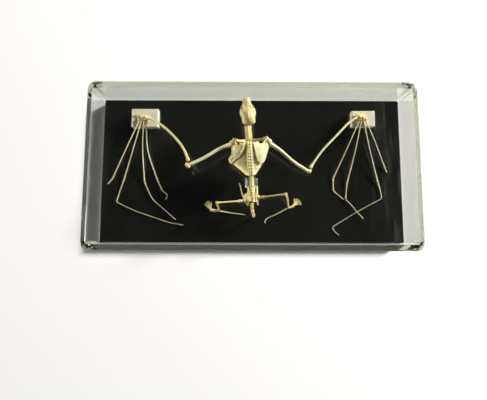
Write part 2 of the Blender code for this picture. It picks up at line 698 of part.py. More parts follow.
def build_tail():
    line = [trunk(*point) for point in TAIL_LINE]
    path = smooth_path(line)
    length = path_length(path)
    start, end = 0.15 * MM, length - 0.3 * MM
    marks = []
    radii = []
    for k in range(TAIL_JOINTS):
        thick = 1.35 - 0.75 * k / TAIL_JOINTS
        for part_way, share in ((0.0, 0.6), (0.15, 1.0), (0.5, 0.72), (0.85, 0.9)):
            marks.append(start + (end - start) * (k + part_way) / TAIL_JOINTS)
            radii.append(thick * share)
    marks.append(end)
    radii.append(0.35)
    finish_node(tube([point_along(path, d) for d in marks], radii, 1), "tail", "bone")


def skull_point(along, across, up):
    """A point of the skull, from the back of the head and from the level of its base."""
    across += SKULL_SHIFT + SKULL_YAW * along
    return trunk(across, SKULL_START + along, SKULL_HEIGHT + up)


def skull_ring(along, half, bottom, top):
    ring = []
    for k in range(SKULL_SIDES):
        angle = 2 * math.pi * k / SKULL_SIDES
        across = half * math.cos(angle)
        up = (top + bottom) / 2 + (top - bottom) / 2 * math.sin(angle)
        ring.append(skull_point(along, across, up))
    return ring


def build_skull():
    shapes = [loft([skull_ring(*section) for section in SKULL_SECTIONS])]
    for side in (LEFT, RIGHT):
        cheek = [skull_point(d, side * a, u) for d, a, u in CHEEK_ROUTE]
        shapes.append(tube(cheek, [0.6] + [CHEEK_RADIUS] * 3 + [0.6], 1))
        shapes.append(ball(skull_point(3.6, side * 2.1, 0.6), (1.15, 1.5, 1.1), TRUNK_LEAN))
        shapes.append(ball(skull_point(0.5, side * 0.9, 1.7), (0.6, 0.8, 0.6), TRUNK_LEAN, 6, 5))
        for d, a, radius, long in UPPER_TEETH:
            foot = skull_point(d, side * a * 0.92, 1.9)
            shapes.append(cone(foot, skull_point(d, side * a, 1.35 - long), radius))
    finish_node(fuse(shapes), "skull", "bone")


def build_mandible():
    left = [skull_point(d, -a, u) for d, a, u in reversed(JAW_ROUTE)]
    right = [skull_point(d, a, u) for d, a, u in JAW_ROUTE[1:]]
    radii = [0.5, 0.55, JAW_RADIUS, JAW_RADIUS, 0.55, 0.6, 0.55, JAW_RADIUS, JAW_RADIUS, 0.55, 0.5]
    shapes = [spindle(left + right, radii, 2, 1)]
    for side in (LEFT, RIGHT):
        horn = [skull_point(d, side * a, u) for d, a, u in JAW_HORN]
        shapes.append(spindle(horn, [0.7, 0.42, 0.3], 2, 1))
        corner = [skull_point(7.0, side * 3.4, -0.7), skull_point(5.6, side * 3.5, -1.5)]
        shapes.append(tube(corner, [0.55, 0.3], 1))
        for d, a, radius, long in LOWER_TEETH:
            foot = skull_point(d, side * a * 0.95, -1.4)
            shapes.append(cone(foot, skull_point(d, side * a * 0.9, -0.9 + long), radius, 5))
    finish_node(fuse(shapes), "mandible", "bone")


def build_scapula(side):
    """A thin blade on the ribs, with the socket, the raised spine and the hook in front."""
    rows = []
    for index, (s, outer, inner) in enumerate(BLADE_ROWS[side]):
        angles = [math.radians(outer + (inner - outer) * k / 5) for k in range(6)]
        row = [chest_point(side, s, angle, BLADE_LIFT) for angle in angles]
        if side == RIGHT and index < len(BLADE_EDGE):
            row.insert(0, trunk(*BLADE_EDGE[index]))
        elif side == RIGHT:
            row.insert(0, chest_point(side, s, math.radians(outer + 6), BLADE_LIFT))
        rows.append(row)
    mesh = bpy.data.meshes.new("blade")
    bm = bmesh.new()
    grid = [[bm.verts.new(p) for p in row] for row in rows]
    for row, after in zip(grid, grid[1:]):
        for k in range(len(row) - 1):
            bm.faces.new((row[k], row[k + 1], after[k + 1]))
            bm.faces.new((row[k], after[k + 1], after[k]))
    outward = chest_point(side, 0, math.radians(60), 3.0) - chest_point(side, 0, math.radians(60))
    bmesh.ops.recalc_face_normals(bm, faces=bm.faces)
    bm.faces.ensure_lookup_table()
    if bm.faces[0].normal.dot(outward) < 0:
        bmesh.ops.reverse_faces(bm, faces=bm.faces)
    bm.to_mesh(mesh)
    bm.free()
    blade = new_object("blade", mesh)
    thick = blade.modifiers.new("thickness", "SOLIDIFY")
    thick.thickness = 0.6 * MM
    thick.offset = 1.0
    bake(blade)
    x, y, h = SHOULDER[side]
    socket = place(x - side * 1.2, y - 0.2, h + 0.1)
    corner = chest_point(side, 7.6, math.radians(60), 2.1)
    ridge = [chest_point(side, 1.5, math.radians(44), 1.4), chest_point(side, 5.5, math.radians(48), 2.0),
             place(x - side * 2.0, y + 1.7, h + 2.1), place(x - side * 0.6, y + 2.1, h + 2.2)]
    hook = [socket, place(x - side * 1.9, y + 1.6, h - 1.0), place(x - side * 1.5, y + 2.0, h - 1.9)]
    neck = socket.lerp(corner, 0.3) + Vector((side * 0.5, -1.0, 1.0)) * MM
    shapes = [blade, tube([corner, socket], [0.7, 0.8]), ball(socket, (0.9, 1.2, 1.3), 0.0, 8, 5),
              ball(neck, (1.2, 1.6, 0.5), 0.0, 8, 5),
              spindle(ridge, [0.35, 0.55, 0.6, 0.5], 2, 1), spindle(hook, [0.6, 0.45, 0.32], 2, 1)]
    finish_node(fuse(shapes), "scapula_" + SIDE_NAMES[side], "bone")


def build_clavicle(side):
    x, y, h = SHOULDER[side]
    breast = chest(side * 2.2, 9.8, CHEST_DEPTH - 0.2)
    bow = place(0, CLAVICLE_BOW[side], 0.6) - place(0, 0, 0)
    middle = breast.lerp(place(x, y, h), 0.5) + bow
    outer = place(x - side * 0.4, y + 3.1, h + 1.6)
    finish_node(bone([breast, middle, outer], 0.7, 0.48, 0.6, shaft_steps=3, roundness=1),
                "clavicle_" + SIDE_NAMES[side], "bone")


def build_humerus(side):
    route = [place(*p) for p in ARM_ROUTE[side]]
    shaft = bone(route, 1.65, 0.92, 1.0, trims=(0.2, 0.0), shaft_steps=5)
    path = smooth_path(route)
    crest = spindle([point_along(path, d * MM) for d in (1.2, 4.0, 9.0)], [1.75, 1.5, 1.0], 2, 1)
    knuckle = tube([place(*p) for p in ELBOW_BAR[side]], [0.95, 0.95])
    finish_node(fuse([shaft, crest, knuckle]), "humerus_" + SIDE_NAMES[side], "bone")


def build_forearm(side):
    """The radius, with the thin ulna joined along its upper part."""
    route = [place(*p) for p in FOREARM_ROUTE[side]]
    radius = bone(route, 0.95, 0.62, 1.0, trims=(0.0, 0.0), shaft_steps=8)
    path = smooth_path(route)
    ulna_route = [point_along(path, d * MM) + Vector((-0.5 * side, -0.35, -0.45)) * MM
                  for d in (1.4, 7.0, 15.0, 22.0)]
    ulna = spindle(ulna_route, [0.62, 0.45, 0.36, 0.3], 2, 1)
    finish_node(fuse([radius, ulna]), "radius_" + SIDE_NAMES[side], "bone")


def build_wrist(side):
    shapes = [ball(place(*p), (r, r * 0.9, r * 0.85), 0.0, 6, 4)
              for p, r in zip(WRIST_STONES[side], WRIST_RADII)]
    finish_node(fuse(shapes), "wrist_" + SIDE_NAMES[side], "bone")


def build_thumb(side):
    route = [place(*p) for p in THUMB_ROUTE[side]]
    thumb = spindle(route, [0.45, 0.36, 0.36, 0.14], 2, 1)
    finish_node(thumb, "thumb_" + SIDE_NAMES[side], "bone")


def joint_trim(radius, incoming, outgoing):
    """How far a rounded bone end stays short of a joint, so that it clears its neighbour."""
    bend = incoming.angle(outgoing)
    return (radius + 0.2) / math.cos(bend / 2) - radius


def build_finger(side, digit):
    bones = [[place(*p) for p in route] for route in FINGERS[side][digit]]
    paths = [smooth_path(route) for route in bones]
    for index, route in enumerate(bones):
        near, shaft, far = FINGER_RADII[index]
        trims = [0.0, 0.0]
        if index > 0:
            before = paths[index - 1][-1] - paths[index - 1][-3]
            after = paths[index][2] - paths[index][0]
            trims[0] = joint_trim(near, before, after)
        if index < len(bones) - 1:
            before = paths[index][-1] - paths[index][-3]
            after = paths[index + 1][2] - paths[index + 1][0]
            trims[1] = joint_trim(far, before, after)
        steps = 2 if len(route) > 2 else 1
        piece = bone(route, near, shaft, far, trims, steps, FINGER_ROUNDNESS)
        name = "digit_%d_%s_%s" % (digit, FINGER_BONES[index], SIDE_NAMES[side])
        finish_node(piece, name, "bone")


def build_femur(side):
    hip, knee = place(*HIP[side]), place(*KNEE[side])
    away = Vector((side * 0.1, 0.0, 0.0)) * MM
    shaft = bone([hip + away, hip.lerp(knee, 0.5) + place(0, 0, 0.5) - place(0, 0, 0), knee],
                 0.95, 0.52, 0.85, trims=(0.0, -0.4), shaft_steps=2, roundness=1)
    knob = ball(hip.lerp(knee, 0.09), (0.9, 1.0, 0.9), 0.0, 8, 5)
    finish_node(fuse([shaft, knob]), "femur_" + SIDE_NAMES[side], "bone")


def build_tibia(side):
    knee, ankle = place(*KNEE[side]), place(*ANKLE[side])
    shaft = bone([knee, ankle], 0.85, 0.46, 0.6, trims=(0.9 + GAP, 0.0), shaft_steps=2, roundness=1)
    bow = knee.lerp(ankle, 0.5) + Vector((side * 0.7, 0.5, 0.0)) * MM
    start = knee.lerp(ankle, 0.12) + Vector((side * 0.4, 0.2, 0.0)) * MM
    splint = spindle([start, bow, knee.lerp(ankle, 0.93)], [0.34, 0.26, 0.3], 3, 1)
    finish_node(fuse([shaft, splint]), "tibia_" + SIDE_NAMES[side], "bone")


def build_foot(side):
    """Heel and instep with five clawed toes."""
    route = [place(*p) for p in FOOT_ROUTE[side]]
    shapes = [tube(route, [0.6, 0.95, 0.9])]
    root = route[-1]
    for x, y in TOE_TIPS[side]:
        tip = place(x, y, 0.55)
        knuckle = root.lerp(tip, 0.45)
        knuckle.z = place(0, 0, 1.25).z
        late = root.lerp(tip, 0.8)
        late.z = place(0, 0, 1.15).z
        shapes.append(tube([root, knuckle, late, tip], [0.42, 0.34, 0.36, 0.12], 1))
    finish_node(fuse(shapes), "foot_" + SIDE_NAMES[side], "bone")


def build_heel_spur(side):
    route = [place(*p) for p in HEEL_SPUR_ROUTE[side]]
    radii = [0.42] + [0.33] * (len(route) - 2) + [0.22]
    finish_node(spindle(route, radii, 2, 1), "calcar_" + SIDE_NAMES[side], "bone")


for thing in list(bpy.data.objects):
    bpy.data.objects.remove(thing, do_unlink=True)

parts = new_collection("bat_skeleton")
pieces = new_collection("working_pieces")
materials = {name: make_material(name) for name in MATERIAL_LOOKS}

build_base()
build_cover()
build_post()
build_skull()
build_mandible()
build_neck()
build_loin()
build_pelvis()
build_tail()
for body_side in (LEFT, RIGHT):
    build_block(body_side)
    build_rib_cage(body_side)
    build_scapula(body_side)
    build_clavicle(body_side)
    build_humerus(body_side)
    build_forearm(body_side)
    build_wrist(body_side)
    build_thumb(body_side)
    for digit_number in FINGERS[body_side]:
        build_finger(body_side, digit_number)
    build_femur(body_side)
    build_tibia(body_side)
    build_foot(body_side)
    build_heel_spur(body_side)
bpy.data.collections.remove(pieces)
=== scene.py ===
"""Looks of the bat skeleton in its case: finer bones, clear cover, light and camera.

Shapes are made in millimetres and scaled to metres when each piece is finished. A height called
h is measured from the top of the base. Left and right are the animal's own, left on the -X side.
"""
import math
import random

import bmesh
import bpy
from mathutils import Matrix, Vector


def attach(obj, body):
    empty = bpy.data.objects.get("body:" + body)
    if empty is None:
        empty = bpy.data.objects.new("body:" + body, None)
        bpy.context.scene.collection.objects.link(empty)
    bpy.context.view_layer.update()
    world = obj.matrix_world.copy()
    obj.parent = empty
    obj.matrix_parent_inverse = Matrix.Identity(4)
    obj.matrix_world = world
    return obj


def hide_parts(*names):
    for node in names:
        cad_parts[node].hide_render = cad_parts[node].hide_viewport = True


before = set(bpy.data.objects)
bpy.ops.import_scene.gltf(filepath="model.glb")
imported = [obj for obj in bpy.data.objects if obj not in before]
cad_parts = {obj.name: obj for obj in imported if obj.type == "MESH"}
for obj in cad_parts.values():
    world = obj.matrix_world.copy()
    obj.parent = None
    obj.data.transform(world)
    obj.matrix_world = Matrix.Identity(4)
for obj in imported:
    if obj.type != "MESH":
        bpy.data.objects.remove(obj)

scene = bpy.context.scene
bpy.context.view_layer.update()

MM = 0.001
GAP = 0.3
LEFT = -1
RIGHT = 1
SIDE_NAMES = {LEFT: "left", RIGHT: "right"}
UP = Vector((0, 0, 1))

# Grain at which overlapping shapes melt together, by how fine the piece is
VOXEL = 0.13
BROAD_VOXEL = 0.14
LEG_VOXEL = 0.12
THIN_VOXEL = 0.11
SPUR_VOXEL = 0.1
FINGERTIP_VOXEL = 0.09

# Cover and base
COVER_SIZE = (200.0, 100.9, 40.0)
COVER_WALL = 2.2
COVER_LONG_WALL = 3.5
COVER_CORNER = 5.0
COVER_TOP_EDGE = 0.8
COVER_INNER_CORNER = 0.6
COVER_INNER_TOP_EDGE = 0.4
BASE_SIZE = (195.0, 93.3, 6.0)
BASE_CHAMFER = 0.7
BLOCK_EDGE = 0.35
POST_EDGE = 0.3

# Widest face of a bent edge, and in metres where the painted reflection streaks on the base set in and are
# full
BEND_WIDTH = 1.5
PAINTED_REFLECTION_FROM = 0.072
PAINTED_REFLECTION_TO = 0.092

# Wrist blocks, each by its middle, width, depth and height
BLOCKS = {
    LEFT: ((-69.5, 33.15), (17.2, 11.9, 6.2)),
    RIGHT: ((72.5, 33.1), (15.0, 10.2, 6.2)),
}

# Clear post under the loins
POST_MIDDLE = (-0.2, -8.6)
POST_FOOT = (8.4, 6.0)
POST_TOP = (5.4, 4.0)
POST_HEIGHT = 14.05

# Corners of the rings round a long bone, the spine and the skull, and how a bone end is rounded
BONE_SIDES = 14
SPINE_SIDES = 16
SKULL_SIDES = 28
BONE_END_SHAPE = [(0.0, 0.5), (0.15, 0.78), (0.45, 0.97), (0.9, 1.0)]

# The line of the body, leaning to the left of straight ahead
TRUNK_ORIGIN = (-1.3, 6.0)
TRUNK_LEAN = math.radians(4.5)

# Spine, by distance towards the head from the trunk's origin and height
SPINE_LINE = [(-36.0, 10.2), (-28.0, 12.9), (-23.0, 14.0), (-18.0, 15.0), (-13.5, 16.3),
              (-9.0, 18.6), (-4.5, 21.6), (0.0, 24.0), (4.5, 25.7), (9.0, 26.5), (14.0, 26.2),
              (18.4, 25.6)]
NECK_RANGE = (9.4, 18.5)
THORAX_RANGE = (-11.6, 9.0)
LOIN_RANGE = (-18.0, -12.0)
SACRUM_RANGE = (-27.6, -18.4)

# Waist of a vertebra and of a tail bone, as share along it and share of its rim
VERTEBRA_SHAPE = [(0.0, 0.15), (0.06, 0.7), (0.16, 1.0), (0.4, 0.72), (0.6, 0.7), (0.82, 0.95),
                  (0.94, 0.7), (1.0, 0.15)]
TAIL_BONE_SHAPE = [(0.03, 0.5), (0.1, 0.95), (0.22, 1.0), (0.42, 0.66), (0.62, 0.62), (0.8, 0.85),
                   (0.92, 0.85), (0.98, 0.5)]

# Rib cage, hung from the spine and tilted so that the breast lies ahead of the back
CHEST_MIDDLE = -0.6
CHEST_STEP = 0.89
CHEST_TILT = math.radians(14)
CHEST_DEPTH = 12.4
RIB_COUNT = 11
STERNAL_RIBS = 7
RIB_HALF_WIDTH = 0.6
RIB_HALF_THICK = 0.28
RIB_SWEEP = 0.8
RIB_FIRST = 9.0
RIB_LAST = -10.8
SEAM_OVERLAP = 0.2

# Half widths of the rib cage along the body, the left side sprung wider than the right
CHEST_WIDTHS = {
    LEFT: [(-10.8, 4.2), (-6.8, 8.2), (-2.9, 11.8), (-0.9, 12.15), (1.1, 10.8), (5.0, 8.6),
           (7.0, 7.0), (9.0, 5.6)],
    RIGHT: [(-10.8, 3.6), (-6.8, 6.6), (-2.9, 8.2), (1.1, 8.3), (5.0, 7.8), (7.0, 6.5), (9.0, 5.2)],
}

# Shoulder blade, in rows from front to tip: place along the body, outer and inner angle
BLADE_ROWS = {
    LEFT: [(9.4, 62, 25), (6.6, 72, 23), (3.6, 78, 27), (0.6, 82, 36), (-2.0, 84, 52), (-4.0, 84, 72)],
    RIGHT: [(9.4, 62, 25), (6.6, 72, 22), (3.6, 78, 22), (0.6, 80, 24), (-2.0, 78, 30), (-4.5, 66, 42)],
}
BLADE_LIFT = 0.86

# Outer edge of the blade from the shoulder down, across and along the body's line and by height
BLADE_EDGE = {
    LEFT: [(10.9, 7.4, 21.6), (10.9, 3.6, 21.2), (11.6, 0.8, 19.4)],
    RIGHT: [(12.2, 6.0, 21.6), (10.6, 2.2, 20.2), (9.2, -1.8, 18.2)],
}
WEB_BULGE = 0.9
WEB_ANGLE = {LEFT: 34, RIGHT: 25}
WEB_REACH = {LEFT: 8.0, RIGHT: 10.4}

# Shoulder and arm, left and right: middles of the joints
CLAVICLE_BOW = {LEFT: 0.9, RIGHT: 1.2}
SHOULDER = {LEFT: (-12.2, 13.7, 21.0), RIGHT: (10.2, 14.6, 21.0)}
ARM_ROUTE = {
    LEFT: [(-12.2, 13.7, 21.0), (-18.6, 11.6, 21.6), (-23.5, 8.8, 22.1), (-28.4, 5.6, 22.6),
           (-33.2, 3.1, 23.1), (-39.4, 0.2, 23.6)],
    RIGHT: [(10.2, 14.6, 21.0), (17.3, 10.5, 18.8), (22.4, 6.4, 16.8), (27.6, 2.5, 14.7),
            (35.6, -2.0, 11.6)],
}
ELBOW_BAR = {
    LEFT: [(-41.0, 1.8, 23.6), (-38.2, -1.0, 23.6)],
    RIGHT: [(35.2, -2.9, 11.2), (37.2, -1.0, 11.2)],
}
FOREARM_ROUTE = {
    LEFT: [(-38.8, 2.6, 24.4), (-42.2, 10.5, 21.0), (-46.1, 16.1, 18.2), (-52.1, 22.5, 14.7),
           (-58.7, 28.1, 11.3), (-67.0, 32.75, 8.4)],
    RIGHT: [(36.6, 0.1, 11.6), (44.5, 11.2, 10.7), (53.8, 20.9, 9.7), (62.5, 29.9, 8.8),
            (67.9, 33.35, 8.4)],
}
WRIST_STONES = {
    LEFT: [(-72.7, 32.3, 7.7), (-71.2, 32.2, 7.8), (-69.9, 32.0, 7.8), (-68.4, 32.1, 7.8),
           (-70.8, 33.3, 8.2), (-69.0, 33.4, 8.3)],
    RIGHT: [(73.8, 32.6, 7.7), (72.3, 32.5, 7.8), (70.8, 32.4, 7.8), (69.4, 32.3, 7.8),
            (71.8, 33.6, 8.2), (70.1, 33.7, 8.3)],
}
WRIST_RADII = (1.05, 1.1, 1.1, 1.15, 1.25, 1.3)
GLUE_SPOT = {LEFT: (-70.0, 32.4), RIGHT: (70.2, 33.4)}
THUMB_ROUTE = {
    LEFT: [(-71.7, 34.5, 7.95), (-73.6, 35.2, 7.5), (-75.6, 34.7, 7.3), (-76.6, 33.7, 7.0)],
    RIGHT: [(69.2, 35.0, 8.05), (67.2, 36.2, 7.6), (65.7, 36.9, 7.4), (64.9, 36.0, 7.0)],
}

# Fingers, bone by bone from wrist to tip: the bow of each bone and its end, where the next one starts
FINGERS = {
    LEFT: {
        2: [[(-72.9, 31.0, 7.8), (-81.6, 12.4, 4.7), (-90.2, -6.0, 1.1)], [(-93.1, -9.3, 0.8)]],
        3: [[(-71.5, 30.9, 7.8), (-77.0, 12.0, 4.6), (-82.7, -6.6, 1.1)],
            [(-85.1, -14.0, 0.9), (-87.1, -21.0, 0.8)],
            [(-74.0, -26.9, 0.75), (-52.2, -34.2, 0.7)], [(-43.7, -35.5, 0.65)]],
        4: [[(-70.0, 30.7, 7.8), (-70.6, 12.0, 4.7), (-69.3, -8.3, 1.1)],
            [(-65.8, -15.7, 0.9), (-63.1, -20.0, 0.8)],
            [(-57.3, -24.8, 0.75), (-48.8, -32.1, 0.7)]],
        5: [[(-68.3, 30.7, 7.8), (-67.2, 12.0, 4.8), (-61.1, -6.7, 1.1)],
            [(-57.8, -13.7, 0.8)], [(-54.6, -16.4, 0.75), (-55.3, -19.3, 0.7)]],
    },
    RIGHT: {
        2: [[(73.9, 31.3, 7.8), (79.9, 18.0, 5.1), (86.3, 2.4, 1.2)], [(87.9, -1.3, 0.8)]],
        3: [[(72.4, 31.2, 7.8), (76.6, 12.0, 4.7), (81.8, -8.0, 1.1)],
            [(83.2, -13.2, 0.9), (83.9, -18.3, 0.8)],
            [(67.8, -26.9, 0.7), (51.8, -36.4, 0.7)], [(52.8, -38.9, 0.7), (55.9, -41.7, 0.65)]],
        4: [[(70.8, 31.1, 7.8), (66.9, 12.0, 4.7), (61.6, -9.1, 1.1)],
            [(60.6, -18.9, 1.0)], [(64.0, -22.3, 1.5), (67.6, -27.0, 1.8), (71.5, -31.0, 0.9)]],
        5: [[(69.3, 31.0, 7.8), (60.9, 12.0, 4.7), (52.8, -5.5, 1.1)],
            [(52.9, -13.6, 0.8)], [(59.3, -18.9, 0.7)]],
    },
}
JOINT_CLEARANCE = 0.2
FINGER_BONES = ("metacarpal", "phalanx_1", "phalanx_2", "phalanx_3")
FINGER_RADII = ((0.52, 0.38, 0.56), (0.54, 0.31, 0.42), (0.38, 0.22, 0.3), (0.28, 0.19, 0.19))

# Legs, left and right
HIP = {LEFT: (-6.1, -20.7, 14.0), RIGHT: (5.2, -18.5, 14.0)}
KNEE = {LEFT: (-21.6, -22.2, 19.2), RIGHT: (20.8, -16.8, 19.2)}
ANKLE = {LEFT: (-21.0, -25.4, 2.1), RIGHT: (23.6, -23.6, 2.1)}
HIP_CUPS = {LEFT: (-5.5, -25.9), RIGHT: (3.15, -24.7)}
HIP_SPINES = {
    LEFT: [(-4.6, -19.6, 13.2), (-6.0, -16.6, 13.6), (-7.8, -9.6, 14.0)],
    RIGHT: [(2.6, -18.4, 13.2), (3.4, -16.4, 13.5), (3.3, -12.2, 13.9)],
}
FOOT_ROUTE = {
    LEFT: [(-21.1, -26.2, 1.3), (-23.8, -26.3, 1.5), (-26.2, -25.8, 1.4)],
    RIGHT: [(23.4, -24.5, 1.3), (25.6, -23.9, 1.5), (27.4, -22.6, 1.4)],
}
TOE_TIPS = {
    LEFT: [(-25.8, -20.8), (-27.1, -20.1), (-28.4, -19.8), (-29.6, -20.5), (-30.5, -21.9)],
    RIGHT: [(27.6, -18.2), (29.3, -18.2), (30.8, -18.9), (31.9, -20.2), (32.4, -21.9)],
}
HEEL_SPUR_ROUTE = {
    LEFT: [(-20.6, -26.55, 1.2), (-12.6, -27.9, 0.9), (-4.2, -28.9, 0.75)],
    RIGHT: [(22.9, -24.75, 1.2), (15.7, -28.6, 0.9), (10.1, -31.1, 0.8), (8.4, -33.4, 0.75),
            (9.1, -34.2, 0.75)],
}
TAIL_LINE = [(-0.8, -27.9, 12.7), (-1.1, -31.0, 12.1), (-0.7, -34.2, 11.2), (-0.4, -35.6, 9.4),
             (-0.3, -36.1, 6.6), (-0.3, -36.2, 3.6), (-0.3, -36.2, 0.05)]
TAIL_JOINTS = 7

# Skull, by distance along it from the back of the head
SKULL_START = 18.9
SKULL_HEIGHT = 22.6
SKULL_SECTIONS = [
    # distance, half width, bottom, top
    (0.0, 1.4, 1.6, 3.6),
    (0.7, 3.0, 0.6, 5.2),
    (2.4, 3.9, 0.1, 6.5),
    (5.0, 4.15, 0.2, 7.1),
    (7.6, 4.1, 0.8, 6.8),
    (9.6, 3.7, 1.3, 5.6),
    (11.2, 3.1, 1.5, 4.6),
    (13.0, 2.8, 1.3, 4.1),
    (15.2, 2.5, 1.2, 3.8),
    (16.8, 2.25, 1.3, 3.3),
    (17.7, 1.7, 1.6, 2.8),
]
CREST_ROUTE = [(1.2, 0, 5.3), (3.0, 0, 6.5), (5.4, 0, 7.0), (8.0, 0, 6.5), (10.4, 0, 4.9)]
BROW_ROUTE = [(9.0, 2.6, 5.1), (11.0, 2.2, 4.2), (12.8, 2.2, 3.8)]
EAR_RIDGE = [(0.6, 2.6, 4.2), (1.4, 3.4, 3.6), (3.2, 3.9, 2.4)]
CHEEK_ROUTE = [(5.0, 3.6, 1.6), (6.4, 4.5, 1.9), (8.4, 4.65, 2.1), (10.9, 4.0, 2.1), (13.2, 2.5, 2.0)]
SKULL_SHIFT = 0.85
SKULL_YAW = -0.03
UPPER_TEETH = [(17.3, 0.5, 0.22, 0.45), (16.9, 1.1, 0.30, 0.6), (15.9, 1.7, 0.48, 1.6),
               (14.8, 1.9, 0.42, 0.9), (13.7, 2.0, 0.5, 1.0), (12.7, 2.1, 0.5, 1.0),
               (11.8, 2.15, 0.42, 0.8)]
JAW_ROUTE = [(16.2, 0.0, -1.5), (15.2, 1.1, -1.4), (12.4, 2.0, -1.2), (9.2, 3.0, -0.9),
             (6.6, 3.5, -0.2), (5.6, 3.6, 0.5)]
JAW_CORNER = [(7.0, 3.4, -0.7), (5.6, 3.5, -1.5)]
JAW_HORN = [(8.0, 3.3, -0.7), (8.0, 3.5, 0.6), (8.5, 3.5, 1.3)]
LOWER_TEETH = [(15.9, 0.4, 0.2, 0.4), (15.4, 0.8, 0.24, 0.5), (14.7, 1.3, 0.36, 0.75),
               (13.9, 1.55, 0.34, 0.45), (13.0, 1.8, 0.38, 0.55), (12.1, 2.05, 0.38, 0.5)]
TOOTH_TIP = 0.15


def place(x, y, h):
    """A point across, towards the head, and above the base."""
    return Vector((x, y, BASE_SIZE[2] + h))


def placed(points):
    return [place(*point) for point in points]


def trunk(a, b, h):
    """A point a across and b along the leaning line of the body."""
    x = TRUNK_ORIGIN[0] + a * math.cos(TRUNK_LEAN) - b * math.sin(TRUNK_LEAN)
    y = TRUNK_ORIGIN[1] + a * math.sin(TRUNK_LEAN) + b * math.cos(TRUNK_LEAN)
    return place(x, y, h)


def headward():
    """The way of the body's line towards the head."""
    return trunk(0, 1, 0) - trunk(0, 0, 0)


def between(table, x):
    """The value at x on the straight lines through a table's points."""
    for (x0, y0), (x1, y1) in zip(table, table[1:]):
        if x <= x1:
            return y0 + (y1 - y0) * (x - x0) / (x1 - x0)
    return table[-1][1]


def spine_height(b):
    return between(SPINE_LINE, b)


def chest(a, s, d):
    """A point of the tilted chest: a across, s towards the neck, d from back to breast."""
    b = CHEST_MIDDLE + s * CHEST_STEP
    return trunk(a, b + d * math.sin(CHEST_TILT), spine_height(b) - d * math.cos(CHEST_TILT))


def chest_point(side, s, angle, out=0.0):
    """A point on the rib cage, some degrees round it from the back, moved out by a distance."""
    angle = math.radians(angle)
    half = between(CHEST_WIDTHS[side], s) + out
    deep = CHEST_DEPTH / 2 + out
    depth = CHEST_DEPTH / 2 - deep * math.cos(angle)
    return chest(side * half * math.sin(angle), s, depth)


def skull_point(along, across, up):
    """A point of the skull, from the back of the head and from the level of its base."""
    across += SKULL_SHIFT + SKULL_YAW * along
    return trunk(across, SKULL_START + along, SKULL_HEIGHT + up)


def skull_route(points, side=RIGHT):
    """Points of the skull from their distance along, across to a side, and up."""
    return [skull_point(along, side * across, up) for along, across, up in points]


def smooth_path(points, steps=8):
    """Points on a smooth curve through the given ones."""
    points = [Vector(p) for p in points]
    ends = [points[0] * 2 - points[1]] + points + [points[-1] * 2 - points[-2]]
    path = []
    for i in range(1, len(ends) - 2):
        p0, p1, p2, p3 = ends[i - 1:i + 3]
        for k in range(steps):
            t = k / steps
            path.append(0.5 * (2 * p1 + (p2 - p0) * t + (2 * p0 - 5 * p1 + 4 * p2 - p3) * t ** 2
                               + (3 * p1 - p0 - 3 * p2 + p3) * t ** 3))
    path.append(points[-1])
    return path


def path_length(path):
    return sum((b - a).length for a, b in zip(path, path[1:]))


def point_along(path, distance):
    """The point at a distance along a path."""
    for a, b in zip(path, path[1:]):
        step = (b - a).length
        if distance <= step:
            return a.lerp(b, distance / step)
        distance -= step
    return path[-1].copy()


def ring_of(sides, spot):
    """A ring of points, each from the cosine and sine of its angle."""
    ring = []
    for k in range(sides):
        angle = 2 * math.pi * k / sides
        ring.append(spot(math.cos(angle), math.sin(angle)))
    return ring


